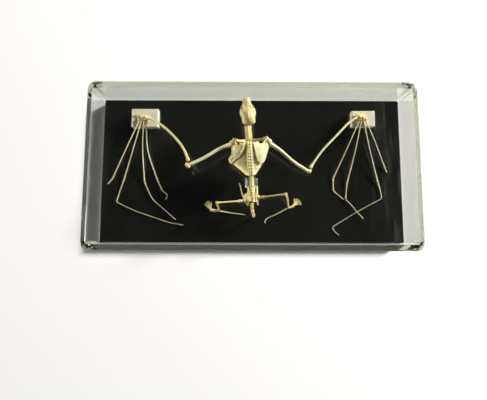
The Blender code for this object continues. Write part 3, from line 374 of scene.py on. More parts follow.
class Clay:
    """Closed shapes that overlap, gathered to be melted into one piece."""

    def __init__(self):
        self.bm = bmesh.new()

    def loft(self, rings):
        """A closed body through rings of points, each with as many points as the others."""
        loops = [[self.bm.verts.new(p) for p in ring] for ring in rings]
        count = len(rings[0])
        for low, high in zip(loops, loops[1:]):
            for i in range(count):
                j = (i + 1) % count
                self.bm.faces.new((low[i], low[j], high[j], high[i]))
        self.bm.faces.new(list(reversed(loops[0])))
        self.bm.faces.new(loops[-1])

    def sweep(self, path, radii, flat=1.0, wide_way=None, sides=12):
        """A tube along a path, flattened across the direction that is its wide way."""
        rings = []
        for k, point in enumerate(path):
            along = (path[min(k + 1, len(path) - 1)] - path[max(k - 1, 0)]).normalized()
            guide = wide_way or Vector((0.3, -0.2, 1.0))
            wide = (guide - along * guide.dot(along)).normalized()
            thin = along.cross(wide) * radii[k] * flat
            wide = wide * radii[k]
            rings.append(ring_of(sides, lambda c, s: point + wide * c + thin * s))
        self.loft(rings)

    def rod(self, route, radii, flat=1.0, wide_way=None, sides=12, steps=5):
        """A sweep along a smooth route, its radius running smoothly through the given ones."""
        path = smooth_path(route, steps)
        widths = smooth_path([Vector((r, 0, 0)) for r in radii], steps)
        self.sweep(path, [max(0.06, w.x) for w in widths], flat, wide_way, sides)

    def ball(self, centre, size, turn=0.0):
        """An ellipsoid of the given half sizes, turned about the upright axis."""
        scale = Matrix.Diagonal((*size, 1.0))
        spin = Matrix.Rotation(turn, 4, "Z")
        bmesh.ops.create_uvsphere(self.bm, u_segments=16, v_segments=10, radius=1.0,
                                  matrix=Matrix.Translation(centre) @ spin @ scale)

    def tooth(self, foot, tip, radius):
        """A pointed cone from its foot to its tip."""
        turn = (tip - foot).to_track_quat("Z", "Y").to_matrix().to_4x4()
        bmesh.ops.create_cone(self.bm, cap_ends=True, segments=12, radius1=radius,
                              radius2=TOOTH_TIP * radius, depth=(tip - foot).length,
                              matrix=Matrix.Translation((foot + tip) / 2) @ turn)

    def plate(self, rows, thick, outward):
        """A closed plate of a thickness over a grid of points."""
        outer = [[p + outward(p) * thick / 2 for p in row] for row in rows]
        inner = [[p - outward(p) * thick / 2 for p in row] for row in rows]
        top = [[self.bm.verts.new(p) for p in row] for row in outer]
        low = [[self.bm.verts.new(p) for p in row] for row in inner]
        down, across = len(rows), len(rows[0])
        for i in range(down - 1):
            for k in range(across - 1):
                self.bm.faces.new((top[i][k], top[i][k + 1], top[i + 1][k + 1], top[i + 1][k]))
                self.bm.faces.new((low[i][k], low[i + 1][k], low[i + 1][k + 1], low[i][k + 1]))
        rim = [(0, k) for k in range(across)] + [(i, across - 1) for i in range(1, down)]
        rim += [(down - 1, k) for k in range(across - 2, -1, -1)]
        rim += [(i, 0) for i in range(down - 2, 0, -1)]
        for (i, k), (m, n) in zip(rim, rim[1:] + rim[:1]):
            self.bm.faces.new((top[i][k], low[i][k], low[m][n], top[m][n]))

    def melt(self, node, material, voxel=VOXEL, smooth=4, holes=()):
        """One smooth piece in place of a part, in metres."""
        bmesh.ops.recalc_face_normals(self.bm, faces=self.bm.faces)
        thing = object_from(self.bm, node + "_fine")
        remesh(thing, voxel)
        cutters = [hole(centre, size) for centre, size in holes]
        for cutter in cutters:
            cut_away(thing, cutter)
        if cutters:
            remesh(thing, voxel)
        relax = thing.modifiers.new("relax", "SMOOTH")
        relax.factor = 0.5
        relax.iterations = smooth
        bake(thing)
        for cutter in cutters:
            bpy.data.objects.remove(cutter)
        thing.data.transform(Matrix.Scale(MM, 4))
        dress(thing, material, "bone", node)
        thing.data.shade_smooth()


def object_from(bm, name):
    """An object of the scene with a bmesh's shape."""
    mesh = bpy.data.meshes.new(name)
    bm.to_mesh(mesh)
    bm.free()
    thing = bpy.data.objects.new(name, mesh)
    scene.collection.objects.link(thing)
    return thing


def remesh(thing, voxel):
    melt = thing.modifiers.new("melt", "REMESH")
    melt.mode = "VOXEL"
    melt.voxel_size = voxel


def cut_away(thing, cutter):
    cut = thing.modifiers.new("cut", "BOOLEAN")
    cut.operation = "DIFFERENCE"
    cut.object = cutter


def hole(centre, size):
    """An ellipsoid to be cut away."""
    bm = bmesh.new()
    bmesh.ops.create_icosphere(bm, subdivisions=3, radius=1.0,
                               matrix=Matrix.Translation(centre) @ Matrix.Diagonal((*size, 1.0)))
    return object_from(bm, "hole")


def bake(thing):
    """Replace a piece's mesh by the one its modifiers give."""
    graph = bpy.context.evaluated_depsgraph_get()
    mesh = bpy.data.meshes.new_from_object(thing.evaluated_get(graph))
    thing.modifiers.clear()
    thing.data = mesh


def dress(thing, material, slot, *nodes):
    """Give a piece its material and let it stand for its parts."""
    thing.data.materials.append(material)
    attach(thing, "root")
    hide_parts(*nodes)


def long_bone(clay, path, near, shaft, far, trims=(0.15, 0.15), waist=0.92):
    """A shaft with rounded ends along a path, cut short of its joints by the trims."""
    start = trims[0]
    end = path_length(path) - trims[1]
    marks = [(start + t * near, share * near) for t, share in BONE_END_SHAPE]
    marks.append((start + 1.7 * near, 0.6 * near + 0.4 * shaft))
    inner_start = start + 2.6 * near
    inner_end = end - 2.6 * far
    for k in range(9):
        t = k / 8
        marks.append((inner_start + (inner_end - inner_start) * t,
                      shaft * (1 - (1 - waist) * math.sin(math.pi * t))))
    marks.append((end - 1.7 * far, 0.6 * far + 0.4 * shaft))
    marks += [(end - t * far, share * far) for t, share in reversed(BONE_END_SHAPE)]
    clay.sweep([point_along(path, d) for d, _ in marks], [r for _, r in marks], sides=BONE_SIDES)


def direction(path, at_end):
    """The way a path runs at its start or at its end."""
    step = path[-1] - path[-3] if at_end else path[2] - path[0]
    return step.normalized()


def build_skull(material):
    """Brain case and snout with crest, brows, cheek arches, ear capsules and teeth."""
    clay = Clay()
    rings = []
    sections = smooth_path([Vector((s[0], s[1], 0)) for s in SKULL_SECTIONS], 3)
    heights = smooth_path([Vector((s[2], s[3], 0)) for s in SKULL_SECTIONS], 3)
    for (along, half, _), (bottom, top, _) in zip(sections, heights):
        middle, tall = (top + bottom) / 2, (top - bottom) / 2
        rings.append(ring_of(SKULL_SIDES, lambda c, s: skull_point(along, half * c, middle + tall * s)))
    clay.loft(rings)
    clay.rod(skull_route(CREST_ROUTE), [0.3, 0.34, 0.34, 0.32, 0.25])
    # Nose opening and hole for the spinal cord, later the eye sockets
    holes = [(skull_point(17.6, 0, 2.6), (0.85, 0.9, 0.6)), (skull_point(-0.2, 0, 2.4), (0.95, 0.9, 0.75))]
    for side in (LEFT, RIGHT):
        clay.rod(skull_route(CHEEK_ROUTE, side), [0.6, 0.46, 0.42, 0.46, 0.6], 0.8)
        clay.ball(skull_point(3.6, side * 2.1, 0.6), (1.15, 1.5, 1.1), TRUNK_LEAN)
        clay.ball(skull_point(8.3, side * 3.6, 2.7), (0.95, 2.3, 0.7), TRUNK_LEAN)
        clay.ball(skull_point(0.5, side * 0.9, 1.7), (0.55, 0.8, 0.6), TRUNK_LEAN)
        clay.rod(skull_route(BROW_ROUTE, side), [0.3, 0.36, 0.34])
        clay.rod(skull_route(EAR_RIDGE, side), [0.3, 0.36, 0.42])
        holes.append((skull_point(11.6, side * 3.6, 3.0), (0.8, 1.2, 0.8)))
        for d, a, radius, long in UPPER_TEETH:
            foot = skull_point(d, side * a * 0.92, 1.9)
            clay.tooth(foot, skull_point(d, side * a, 1.35 - long), radius)
    clay.melt("skull", material, BROAD_VOXEL, 3, holes)


def build_mandible(material):
    clay = Clay()
    bow = skull_route(reversed(JAW_ROUTE), LEFT) + skull_route(JAW_ROUTE[1:], RIGHT)
    radii = [0.5, 0.55, 0.6, 0.62, 0.55, 0.6, 0.55, 0.62, 0.6, 0.55, 0.5]
    clay.rod(bow, radii, 0.8, UP)
    snoutward = skull_point(1, 0, 0) - skull_point(0, 0, 0)
    for side in (LEFT, RIGHT):
        clay.rod(skull_route(JAW_HORN, side), [0.75, 0.45, 0.26], 0.7, snoutward)
        clay.rod(skull_route(JAW_CORNER, side), [0.5, 0.26], 0.7)
        for d, a, radius, long in LOWER_TEETH:
            foot = skull_point(d, side * a * 0.95, -1.4)
            clay.tooth(foot, skull_point(d, side * a * 0.9, -0.9 + long), radius)
    clay.melt("mandible", material, BROAD_VOXEL, 3)


def spine_ring(a, b, half_width, half_height):
    """An upright oval ring round the spine at b along the body."""
    return ring_of(SPINE_SIDES, lambda c, s: trunk(a + half_width * c, b, spine_height(b) + half_height * s))


def vertebra(clay, start, end, half_width, half_height, core, side_shift=0.0):
    """One waisted body with a rim at each end."""
    rings = []
    for t, share in VERTEBRA_SHAPE:
        wide = core + (half_width - core) * share
        high = core + (half_height - core) * share
        rings.append(spine_ring(side_shift, start + (end - start) * t, wide, high))
    clay.loft(rings)


def build_neck(material):
    """Seven short wide vertebrae, each with arch, joint knobs and side wings."""
    clay = Clay()
    start, end = NECK_RANGE
    length = (end - start) / 7
    clay.loft([spine_ring(0, start + 0.2, 0.9, 0.8), spine_ring(0, end - 0.2, 0.9, 0.8)])
    for k in range(7):
        b = start + length * (k + 0.5)
        h = spine_height(b)
        wide = 2.25 if k == 6 else 2.05 - 0.05 * (k % 2)
        vertebra(clay, b - 0.47 * length, b + 0.47 * length, wide, 1.05, 0.8)
        for side in (LEFT, RIGHT):
            clay.ball(trunk(side * 1.35, b + 0.2, h + 0.55), (0.55, 0.5, 0.4), TRUNK_LEAN)
            wing = [trunk(side * 1.2, b, h - 0.2), trunk(side * (wide + 0.2), b - 0.3, h - 0.3)]
            clay.rod(wing, [0.42, 0.3])
        clay.rod([trunk(0, b + 0.2, h + 0.8), trunk(0, b - 0.15, h + 1.35)], [0.4, 0.22])
    clay.melt("neck_vertebrae", material, VOXEL, 3)


def build_loin(material):
    clay = Clay()
    start, end = LOIN_RANGE
    length = (end - start) / 5
    clay.loft([spine_ring(0, start + 0.15, 0.75, 0.75), spine_ring(0, end - 0.15, 0.75, 0.75)])
    for k in range(5):
        b = start + length * (k + 0.5)
        h = spine_height(b)
        vertebra(clay, b - 0.48 * length, b + 0.48 * length, 1.2, 1.1, 0.7)
        for side in (LEFT, RIGHT):
            wing = [trunk(side * 0.5, b, h), trunk(side * 1.5, b + 0.2, h - 0.2),
                    trunk(side * 1.95, b + 0.4, h - 0.3)]
            clay.rod(wing, [0.42, 0.32, 0.2], 0.7)
            clay.ball(trunk(side * 0.65, b + 0.5, h + 0.7), (0.34, 0.36, 0.34), TRUNK_LEAN)
        spine = [trunk(0, b + 0.25, h + 0.7), trunk(0, b - 0.1, h + 1.55)]
        clay.rod(spine, [0.42, 0.24], 0.6, headward())
    clay.melt("lumbar_spine", material, LEG_VOXEL, 3)


def rib_position(index):
    return RIB_FIRST + (RIB_LAST - RIB_FIRST) * index / (RIB_COUNT - 1)


def rib_route(side, index):
    """The way of a rib round the chest, as far as the breast bone for the front ones."""
    s = rib_position(index)
    b = CHEST_MIDDLE + s * CHEST_STEP
    route = [trunk(side * 0.8, b, spine_height(b) - 0.1)]
    last_angle = 150 if index < STERNAL_RIBS else 150 - 13 * (index - STERNAL_RIBS + 1)
    for k in range(7):
        angle = 22 + (last_angle - 22) * k / 6
        drop = RIB_SWEEP * math.sin(math.radians(min(angle, 90)))
        route.append(chest_point(side, s - drop, angle))
    if index < STERNAL_RIBS:
        route.append(chest(side * 0.7, 8.4 - 1.45 * index, CHEST_DEPTH))
    return route


def build_rib_cage(side, material):
    """One side: half of the back bones, the ribs with dry skin between, half of the breast bone."""
    clay = Clay()
    forward = chest(0, 1, 0) - chest(0, 0, 0)
    start, end = THORAX_RANGE
    length = (end - start) / RIB_COUNT
    routes = [rib_route(side, index) for index in range(RIB_COUNT)]
    clay.loft([spine_ring(side * 0.72, b, 0.5, 0.75) for b in (start + 0.1, end - 0.1)])
    for index, route in enumerate(routes):
        b = start + length * (index + 0.5)
        vertebra(clay, b - 0.48 * length, b + 0.48 * length, 1.12, 1.0, 0.55, side * 0.78)
        s = rib_position(index)
        root_b = CHEST_MIDDLE + s * CHEST_STEP
        root_h = spine_height(root_b)
        spine = [trunk(side * 0.5, root_b + 0.2, root_h + 0.5),
                 trunk(side * 0.45, root_b - 0.5, root_h + 1.75)]
        clay.rod(spine, [0.36, 0.26])
        clay.ball(trunk(side * 1.5, root_b, root_h + 0.15), (0.5, 0.5, 0.45), TRUNK_LEAN)
        widths = [0.42] + [RIB_HALF_WIDTH] * (len(route) - 2) + [0.42]
        clay.rod(route, widths, RIB_HALF_THICK / RIB_HALF_WIDTH, forward, 12, 4)
    for first, second in zip(routes, routes[1:]):
        count = min(len(first), len(second), 7)
        skin = [first[k].lerp(second[k], 0.5) for k in range(count)]
        clay.rod(skin, [0.62] * len(skin), 0.3, forward, 8, 4)
    keel = [chest(side * 0.72, s, CHEST_DEPTH) for s in (9.8, 8.4, 5.0, 1.0, -2.6)]
    clay.rod(keel, [0.85, 0.8, 0.5, 0.5, 0.45])
    keel_edge = [chest(side * 0.5, s, CHEST_DEPTH + 0.5) for s in (9.4, 7.0, 4.0)]
    clay.rod(keel_edge, [0.34, 0.34, 0.3])
    arch = []
    for s, angle in ((-1.6, 172), (-4.0, 160), (-7.0, 143), (-9.4, 120), (-10.8, 98)):
        arch.append(chest_point(side, s, angle))
    clay.rod(arch, [0.42, 0.38, 0.36, 0.34, 0.32])
    keep_side(clay.bm, side)
    clay.melt("rib_cage_" + SIDE_NAMES[side], material, BROAD_VOXEL, 3)


def keep_side(bm, side):
    """Push back what crosses the body's middle plane by more than the seam's overlap."""
    across = (trunk(1, 0, 0) - trunk(0, 0, 0)).normalized()
    origin = trunk(0, 0, 0)
    for v in bm.verts:
        distance = (v.co - origin).dot(across) * side
        if distance < -SEAM_OVERLAP:
            v.co -= across * side * (distance + SEAM_OVERLAP)


def build_scapula(side, material):
    """A thin blade on the ribs with thick edges, its ridge, the socket and the hook in front."""
    clay = Clay()
    rows = []
    marks = smooth_path([Vector(row) for row in BLADE_ROWS[side]], 3)
    uneven = random.Random(40 + side)
    for s, outer, inner in marks:
        outer += uneven.uniform(-2.5, 2.5)
        row = []
        for k in range(13):
            t = k / 12
            dish = 0.28 * math.sin(math.pi * t * 2) ** 2
            row.append(chest_point(side, s, outer + (inner - outer) * t, BLADE_LIFT + 0.25 - dish))
        rows.append(row)
    centre = chest(0, 2.0, CHEST_DEPTH / 2)

    def outward(point):
        return (point - centre).normalized()

    clay.plate(rows, 0.42, outward)
    rim = [row[0] for row in rows]
    inner_rim = [row[-1] for row in rows]
    clay.sweep(rim, [0.34] * len(rim))
    clay.sweep(inner_rim, [0.3] * len(inner_rim))
    clay.sweep(rows[0], [0.3] * len(rows[0]))
    x, y, h = SHOULDER[side]
    socket = place(x - side * 1.2, y - 0.2, h + 0.1)
    corner = chest_point(side, 7.6, 60, 2.1)
    ridge = [chest_point(side, 1.5, 44, 1.0), chest_point(side, 5.5, 48, 1.6),
             place(x - side * 2.0, y + 1.7, h + 2.0), place(x - side * 0.6, y + 2.1, h + 2.1)]
    hook = [socket, place(x - side * 1.9, y + 1.6, h - 1.0), place(x - side * 1.5, y + 2.0, h - 1.9)]
    clay.rod([corner, socket], [0.75, 0.85])
    clay.ball(socket, (0.9, 1.25, 1.35))
    clay.ball(socket.lerp(corner, 0.3) + Vector((side * 0.5, -1.0, 1.0)), (1.2, 1.6, 0.5))
    clay.rod(ridge, [0.35, 0.55, 0.62, 0.5], 0.7)
    clay.rod(hook, [0.62, 0.46, 0.3])
    # Dry muscle from the joint down the outer edge, and over the joint
    edge = smooth_path([trunk(side * a, b, up) for a, b, up in BLADE_EDGE[side]], 4)
    web = []
    for k, point in enumerate(edge):
        s = 7.6 - WEB_REACH[side] * k / (len(edge) - 1)
        inner = chest_point(side, s, WEB_ANGLE[side], BLADE_LIFT + 0.15)
        bulge = outward(inner) * WEB_BULGE
        web.append([point.lerp(inner, i / 8) + bulge * math.sin(math.pi * i / 8) for i in range(9)])
    clay.plate(web, 0.6, outward)
    clay.sweep(edge, [0.4] * len(edge))
    clay.ball(place(x + side * 0.2, y + 1.0, h + 0.9), (1.7, 1.6, 1.3))
    clay.melt("scapula_" + SIDE_NAMES[side], material, BROAD_VOXEL, 2)


def build_clavicle(side, material):
    clay = Clay()
    x, y, h = SHOULDER[side]
    breast = chest(side * 2.2, 9.8, CHEST_DEPTH - 0.2)
    middle = breast.lerp(place(x, y, h), 0.5) + Vector((0, CLAVICLE_BOW[side], 0.6))
    outer = place(x - side * 0.4, y + 3.1, h + 1.6)
    long_bone(clay, smooth_path([breast, middle, outer]), 1.0, 0.95, 1.0)
    clay.melt("clavicle_" + SIDE_NAMES[side], material)


def build_humerus(side, material):
    """Rounded head with its two knobs and crest, and the grooved elbow joint."""
    clay = Clay()
    path = smooth_path(placed(ARM_ROUTE[side]))
    long_bone(clay, path, 1.65, 1.1, 1.0, (0.0, 0.2))
    along = direction(path, False)
    out = along.cross(UP).normalized()
    head = point_along(path, 1.5)
    clay.ball(head - along * 0.4 + out * side * 0.5 + UP * 0.5, (1.35, 1.35, 1.2))
    clay.ball(head - out * side * 0.75 + UP * 0.15 + along * 0.4, (0.8, 0.8, 0.9))
    crest_line = ((1.4, 0.3), (4.2, 0.55), (7.4, 0.5), (10.5, 0.15))
    crest = [point_along(path, distance) + UP * lift for distance, lift in crest_line]
    clay.rod(crest, [1.7, 1.45, 1.1, 0.7], 0.85)
    first, last = placed(ELBOW_BAR[side])
    inner, outer = first.lerp(last, 0.3), last.lerp(first, 0.15)
    clay.rod([inner, first.lerp(last, 0.5), outer], [1.0, 1.25, 0.95])
    clay.ball(inner, (0.95, 0.95, 0.95))
    clay.ball(outer, (0.9, 0.9, 0.95))
    clay.melt("humerus_" + SIDE_NAMES[side], material)


def build_forearm(side, material):
    """The radius, with the thin ulna joined along its upper part."""
    clay = Clay()
    path = smooth_path(placed(FOREARM_ROUTE[side]))
    long_bone(clay, path, 1.2, 0.74, 0.95, (0.0, 0.0))
    beside = Vector((-0.5 * side, -0.35, -0.45))
    ulna = [point_along(path, distance) + beside for distance in (1.2, 3.0, 9.0, 16.0, 22.0)]
    clay.rod(ulna, [0.9, 0.62, 0.42, 0.3, 0.2])
    end = point_along(path, path_length(path) - 1.0)
    along = direction(path, True)
    out = along.cross(UP).normalized()
    for knob in (end + out * 0.35, end - out * 0.35):
        clay.ball(knob, (0.7, 0.7, 0.7))
    clay.melt("radius_" + SIDE_NAMES[side], material)


def build_wrist(side, material):
    """Small wrist bones, glued to their block."""
    clay = Clay()
    for point, radius in zip(WRIST_STONES[side], WRIST_RADII):
        clay.ball(place(*point), (radius * 1.15, radius * 1.05, radius * 0.9), radius * 7)
    x, y = GLUE_SPOT[side]
    clay.ball(place(x, y, 6.7), (4.6, 3.2, 0.55), 0.2 * side)
    clay.ball(place(x + side * 1.6, y - 2.0, 6.65), (2.8, 2.2, 0.45), -0.5 * side)
    clay.melt("wrist_" + SIDE_NAMES[side], material, VOXEL, 2)


def build_thumb(side, material):
    clay = Clay()
    route = placed(THUMB_ROUTE[side])
    clay.rod(route, [0.45, 0.32, 0.36, 0.1])
    clay.ball(route[0], (0.48, 0.48, 0.42))
    clay.ball(route[1], (0.42, 0.42, 0.38))
    clay.melt("thumb_" + SIDE_NAMES[side], material, THIN_VOXEL, 2)


def joint_trim(radius, incoming, outgoing):
    """How far a rounded bone end stays short of a joint, so that it clears its neighbour."""
    bend = incoming.angle(outgoing)
    return (radius + JOINT_CLEARANCE) / math.cos(bend / 2) - radius


def build_finger(side, digit, material):
    """Each bone of a finger, with two knobs at either end."""
    paths = []
    route = []
    for bone in FINGERS[side][digit]:
        route = route[-1:] + bone
        paths.append(smooth_path(placed(route)))
    for index, path in enumerate(paths):
        near, shaft, far = FINGER_RADII[index]
        trims = [0.0, 0.0]
        if index > 0:
            trims[0] = joint_trim(near, direction(paths[index - 1], True), direction(path, False))
        if index < len(paths) - 1:
            trims[1] = joint_trim(far, direction(path, True), direction(paths[index + 1], False))
        clay = Clay()
        long_bone(clay, path, near, shaft, far, trims, 0.88)
        last_knobs = path_length(path) - trims[1] - 0.75 * far
        for distance, size, at_end in ((trims[0] + 0.75 * near, near, False), (last_knobs, far, True)):
            across = direction(path, at_end).cross(UP).normalized() * size * 0.35
            spot = point_along(path, distance)
            for knob in (spot + across, spot - across):
                clay.ball(knob, (size * 0.78, size * 0.78, size * 0.85))
        name = "digit_%d_%s_%s" % (digit, FINGER_BONES[index], SIDE_NAMES[side])
        clay.melt(name, material, THIN_VOXEL if shaft > 0.3 else FINGERTIP_VOXEL, 3)


def build_femur(side, material):
    clay = Clay()
    hip, knee = place(*HIP[side]), place(*KNEE[side])
    start = hip + Vector((side * 0.1, 0, 0))
    path = smooth_path([start, hip.lerp(knee, 0.5) + Vector((0, 0, 0.5)), knee])
    long_bone(clay, path, 0.85, 0.5, 0.8, (0.0, -0.4))
    clay.ball(hip.lerp(knee, 0.03), (0.8, 0.85, 0.8))
    clay.ball(hip.lerp(knee, 0.12) + Vector((0, 0.5, 0.3)), (0.75, 0.5, 0.55))
    clay.ball(hip.lerp(knee, 0.12) + Vector((0, -0.55, 0.2)), (0.7, 0.45, 0.5))
    for shift in (-0.42, 0.42):
        clay.ball(knee + Vector((side * 0.1, shift, -0.05)), (0.72, 0.5, 0.75))
    clay.melt("femur_" + SIDE_NAMES[side], material, LEG_VOXEL)


def build_tibia(side, material):
    """The shin bone with the thin bone beside it."""
    clay = Clay()
    knee, ankle = place(*KNEE[side]), place(*ANKLE[side])
    path = smooth_path([knee, knee.lerp(ankle, 0.5), ankle])
    long_bone(clay, path, 0.82, 0.44, 0.58, (0.9 + GAP, 0.0))
    bow = knee.lerp(ankle, 0.5) + Vector((side * 0.7, 0.5, 0.0))
    start = knee.lerp(ankle, 0.12) + Vector((side * 0.4, 0.2, 0.0))
    clay.rod([start, bow, knee.lerp(ankle, 0.93)], [0.32, 0.24, 0.28])
    clay.melt("tibia_" + SIDE_NAMES[side], material, LEG_VOXEL)


def build_foot(side, material):
    """Heel and instep with five toes, each of three short bones and a claw."""
    clay = Clay()
    route = placed(FOOT_ROUTE[side])
    clay.rod(route, [0.6, 0.8, 0.8])
    for k, (lift, reach) in enumerate(((0.35, 0.3), (0.3, 0.5), (0.35, 0.75), (0.25, 0.95))):
        spot = point_along(route, path_length(route) * reach)
        clay.ball(spot + Vector((0.2 * (-1) ** k, 0.35 * (-1) ** k, lift * 0.4)), (0.6, 0.6, 0.55))
    root = route[-1]
    for x, y in TOE_TIPS[side]:
        tip = place(x, y, 0.5)
        heights = ((0.2, 1.3), (0.45, 1.25), (0.66, 1.35), (0.84, 1.15))
        spots = []
        for t, h in heights:
            spot = root.lerp(tip, t)
            spot.z = place(0, 0, h).z
            spots.append(spot)
        clay.rod([root] + spots, [0.42, 0.33, 0.3, 0.3, 0.28])
        clay.ball(spots[1], (0.38, 0.38, 0.34))
        clay.ball(spots[3], (0.36, 0.36, 0.36))
        claw = [spots[3], spots[3].lerp(tip, 0.6) + UP * 0.15, tip]
        clay.rod(claw, [0.32, 0.24, 0.08], 0.6, UP)
    clay.melt("foot_" + SIDE_NAMES[side], material, THIN_VOXEL, 2)


def build_heel_spur(side, material):
    clay = Clay()
    route = placed(HEEL_SPUR_ROUTE[side])
    clay.rod(route, [0.42] + [0.33] * (len(route) - 2) + [0.18])
    clay.melt("calcar_" + SIDE_NAMES[side], material, SPUR_VOXEL)


def build_pelvis(material):
    """Fused back bones between thin hip blades, with the sockets and the ring below."""
    clay = Clay()
    back, front = SACRUM_RANGE
    length = (front - back) / 5
    clay.loft([spine_ring(0, back + 0.2, 1.1, 0.85), spine_ring(0, front - 0.2, 1.3, 0.95)])
    for k in range(5):
        b = back + length * (k + 0.5)
        h = spine_height(b)
        wide = 1.5 + 0.09 * k
        vertebra(clay, b - 0.5 * length, b + 0.5 * length, wide, 1.1, 0.8)
        spine = [trunk(0, b + 0.3, h + 0.6), trunk(0, b - 0.2, h + 1.5)]
        clay.rod(spine, [0.5, 0.26], 0.6, headward())
    for side in (LEFT, RIGHT):
        across, along = HIP_CUPS[side]
        cup = trunk(across, along, 13.4)
        blade = [trunk(side * 2.9, front + 0.3, 15.2), trunk(side * 2.5, front - 3.2, 14.4), cup]
        clay.rod(blade, [0.55, 0.85, 1.0], 0.7)
        clay.ball(cup, (1.25, 1.3, 1.15), TRUNK_LEAN)
        wing = trunk(0.55 * across, along + 1.6, 13.9)
        clay.ball(wing, (0.5 * abs(across), 3.0, 0.85), TRUNK_LEAN)
        clay.rod([trunk(side * 1.0, along + 1.5, 13.9), cup], [0.9, 0.9])
        clay.ball(trunk(side * 1.9, front - 2.8, 13.9), (1.3, 3.7, 1.15), TRUNK_LEAN)
        seat = trunk(side * 1.6 + 0.35 * across, back - 1.6, 10.4)
        pubis = trunk(side * 0.9 + 0.2 * across, along + 1.4, 9.0)
        clay.rod([cup, cup.lerp(seat, 0.5) + UP * 0.3, seat], [0.65, 0.5, 0.6], 0.7)
        clay.rod([cup, pubis], [0.55, 0.42])
        clay.rod([seat, pubis], [0.5, 0.4])
        clay.rod(placed(HIP_SPINES[side]), [0.5, 0.42, 0.34], 0.7)
    clay.melt("pelvis", material)


def build_tail(material):
    """Waisted tail bones, thinner towards the tip, on one thin core."""
    clay = Clay()
    path = smooth_path([trunk(*point) for point in TAIL_LINE])
    start, end = 0.15, path_length(path) - 0.3
    step = (end - start) / TAIL_JOINTS
    clay.sweep([point_along(path, start + (end - start) * k / 20) for k in range(21)],
               [0.55 - 0.28 * k / 20 for k in range(21)])
    for k in range(TAIL_JOINTS):
        thick = 1.35 - 0.75 * k / TAIL_JOINTS
        clay.sweep([point_along(path, start + step * (k + t)) for t, _ in TAIL_BONE_SHAPE],
                   [thick * share for _, share in TAIL_BONE_SHAPE])
    clay.melt("tail", material)


def block_mesh(size, middle, bottom):
    """A box in millimetres as an open bmesh."""
    bm = bmesh.new()
    bmesh.ops.create_cube(bm, size=1.0)
    bm.transform(Matrix.Translation(Vector((middle[0], middle[1], bottom + size[2] / 2)))
                 @ Matrix.Diagonal((*size, 1.0)))
    return bm


def bevel_edges(bm, chosen, width, segments):
    bmesh.ops.bevel(bm, geom=chosen, offset=width, segments=segments, profile=0.5, affect="EDGES",
                    clamp_overlap=True)


def upright_edges(bm):
    return [e for e in bm.edges if abs(e.verts[0].co.z - e.verts[1].co.z) > 0.5]


def top_edges(bm):
    top = max(v.co.z for v in bm.verts)
    return [e for e in bm.edges if all(v.co.z > top - 0.01 for v in e.verts)]


def shade_bends_only(mesh):
    """Smooth shading on the narrow faces of bent edges, flat shading on the large flat ones."""
    for face in mesh.polygons:
        corners = [mesh.vertices[i].co for i in face.vertices]
        edges = [(a - b).length for a, b in zip(corners, corners[1:] + corners[:1])]
        face.use_smooth = min(edges) < BEND_WIDTH * MM and len(corners) < 9


def solid_from(bm, name):
    """An object in metres from a bmesh in millimetres."""
    thing = object_from(bm, name)
    thing.data.transform(Matrix.Scale(MM, 4))
    shade_bends_only(thing.data)
    return thing


def build_base(material):
    bm = block_mesh(BASE_SIZE, (0, 0), 0.0)
    bevel_edges(bm, upright_edges(bm), BASE_CHAMFER, 3)
    bevel_edges(bm, top_edges(bm), BASE_CHAMFER, 3)
    dress(solid_from(bm, "case_base_fine"), material, "black_base", "case_base")


def build_cover(material):
    """A thin rounded box, open below, with its edges broken."""
    outer = block_mesh(COVER_SIZE, (0, 0), 0.0)
    bevel_edges(outer, upright_edges(outer), COVER_CORNER, 12)
    bevel_edges(outer, top_edges(outer), COVER_TOP_EDGE, 4)
    cover = solid_from(outer, "case_cover_fine")
    size = (COVER_SIZE[0] - 2 * COVER_WALL, COVER_SIZE[1] - 2 * COVER_LONG_WALL, COVER_SIZE[2])
    inner = block_mesh(size, (0, 0), -COVER_WALL)
    bevel_edges(inner, upright_edges(inner), COVER_INNER_CORNER, 5)
    bevel_edges(inner, top_edges(inner), COVER_INNER_TOP_EDGE, 2)
    hollow = solid_from(inner, "hollow")
    cut_away(cover, hollow)
    bake(cover)
    bpy.data.objects.remove(hollow)
    shade_bends_only(cover.data)
    # Clear plastic that lets the light through to the bones
    cover.visible_shadow = False
    cover.visible_diffuse = False
    dress(cover, material, "clear_cover", "case_cover")


def build_block(side, material):
    middle, size = BLOCKS[side]
    bm = block_mesh(size, middle, BASE_SIZE[2] + GAP)
    bevel_edges(bm, list(bm.edges), BLOCK_EDGE, 3)
    name = "wrist_block_" + SIDE_NAMES[side]
    dress(solid_from(bm, name + "_fine"), material, "cream_blocks", name)


def build_post(material):
    bm = block_mesh((*POST_FOOT, POST_HEIGHT - GAP), POST_MIDDLE, BASE_SIZE[2] + GAP)
    top = max(v.co.z for v in bm.verts)
    for v in bm.verts:
        if v.co.z > top - 0.01:
            v.co.x = POST_MIDDLE[0] + (v.co.x - POST_MIDDLE[0]) * POST_TOP[0] / POST_FOOT[0]
            v.co.y = POST_MIDDLE[1] + (v.co.y - POST_MIDDLE[1]) * POST_TOP[1] / POST_FOOT[1]
    bevel_edges(bm, list(bm.edges), POST_EDGE, 2)
    post = solid_from(bm, "post_fine")
    post.visible_shadow = False
    post.visible_diffuse = False
    dress(post, material, "clear_post", "post")


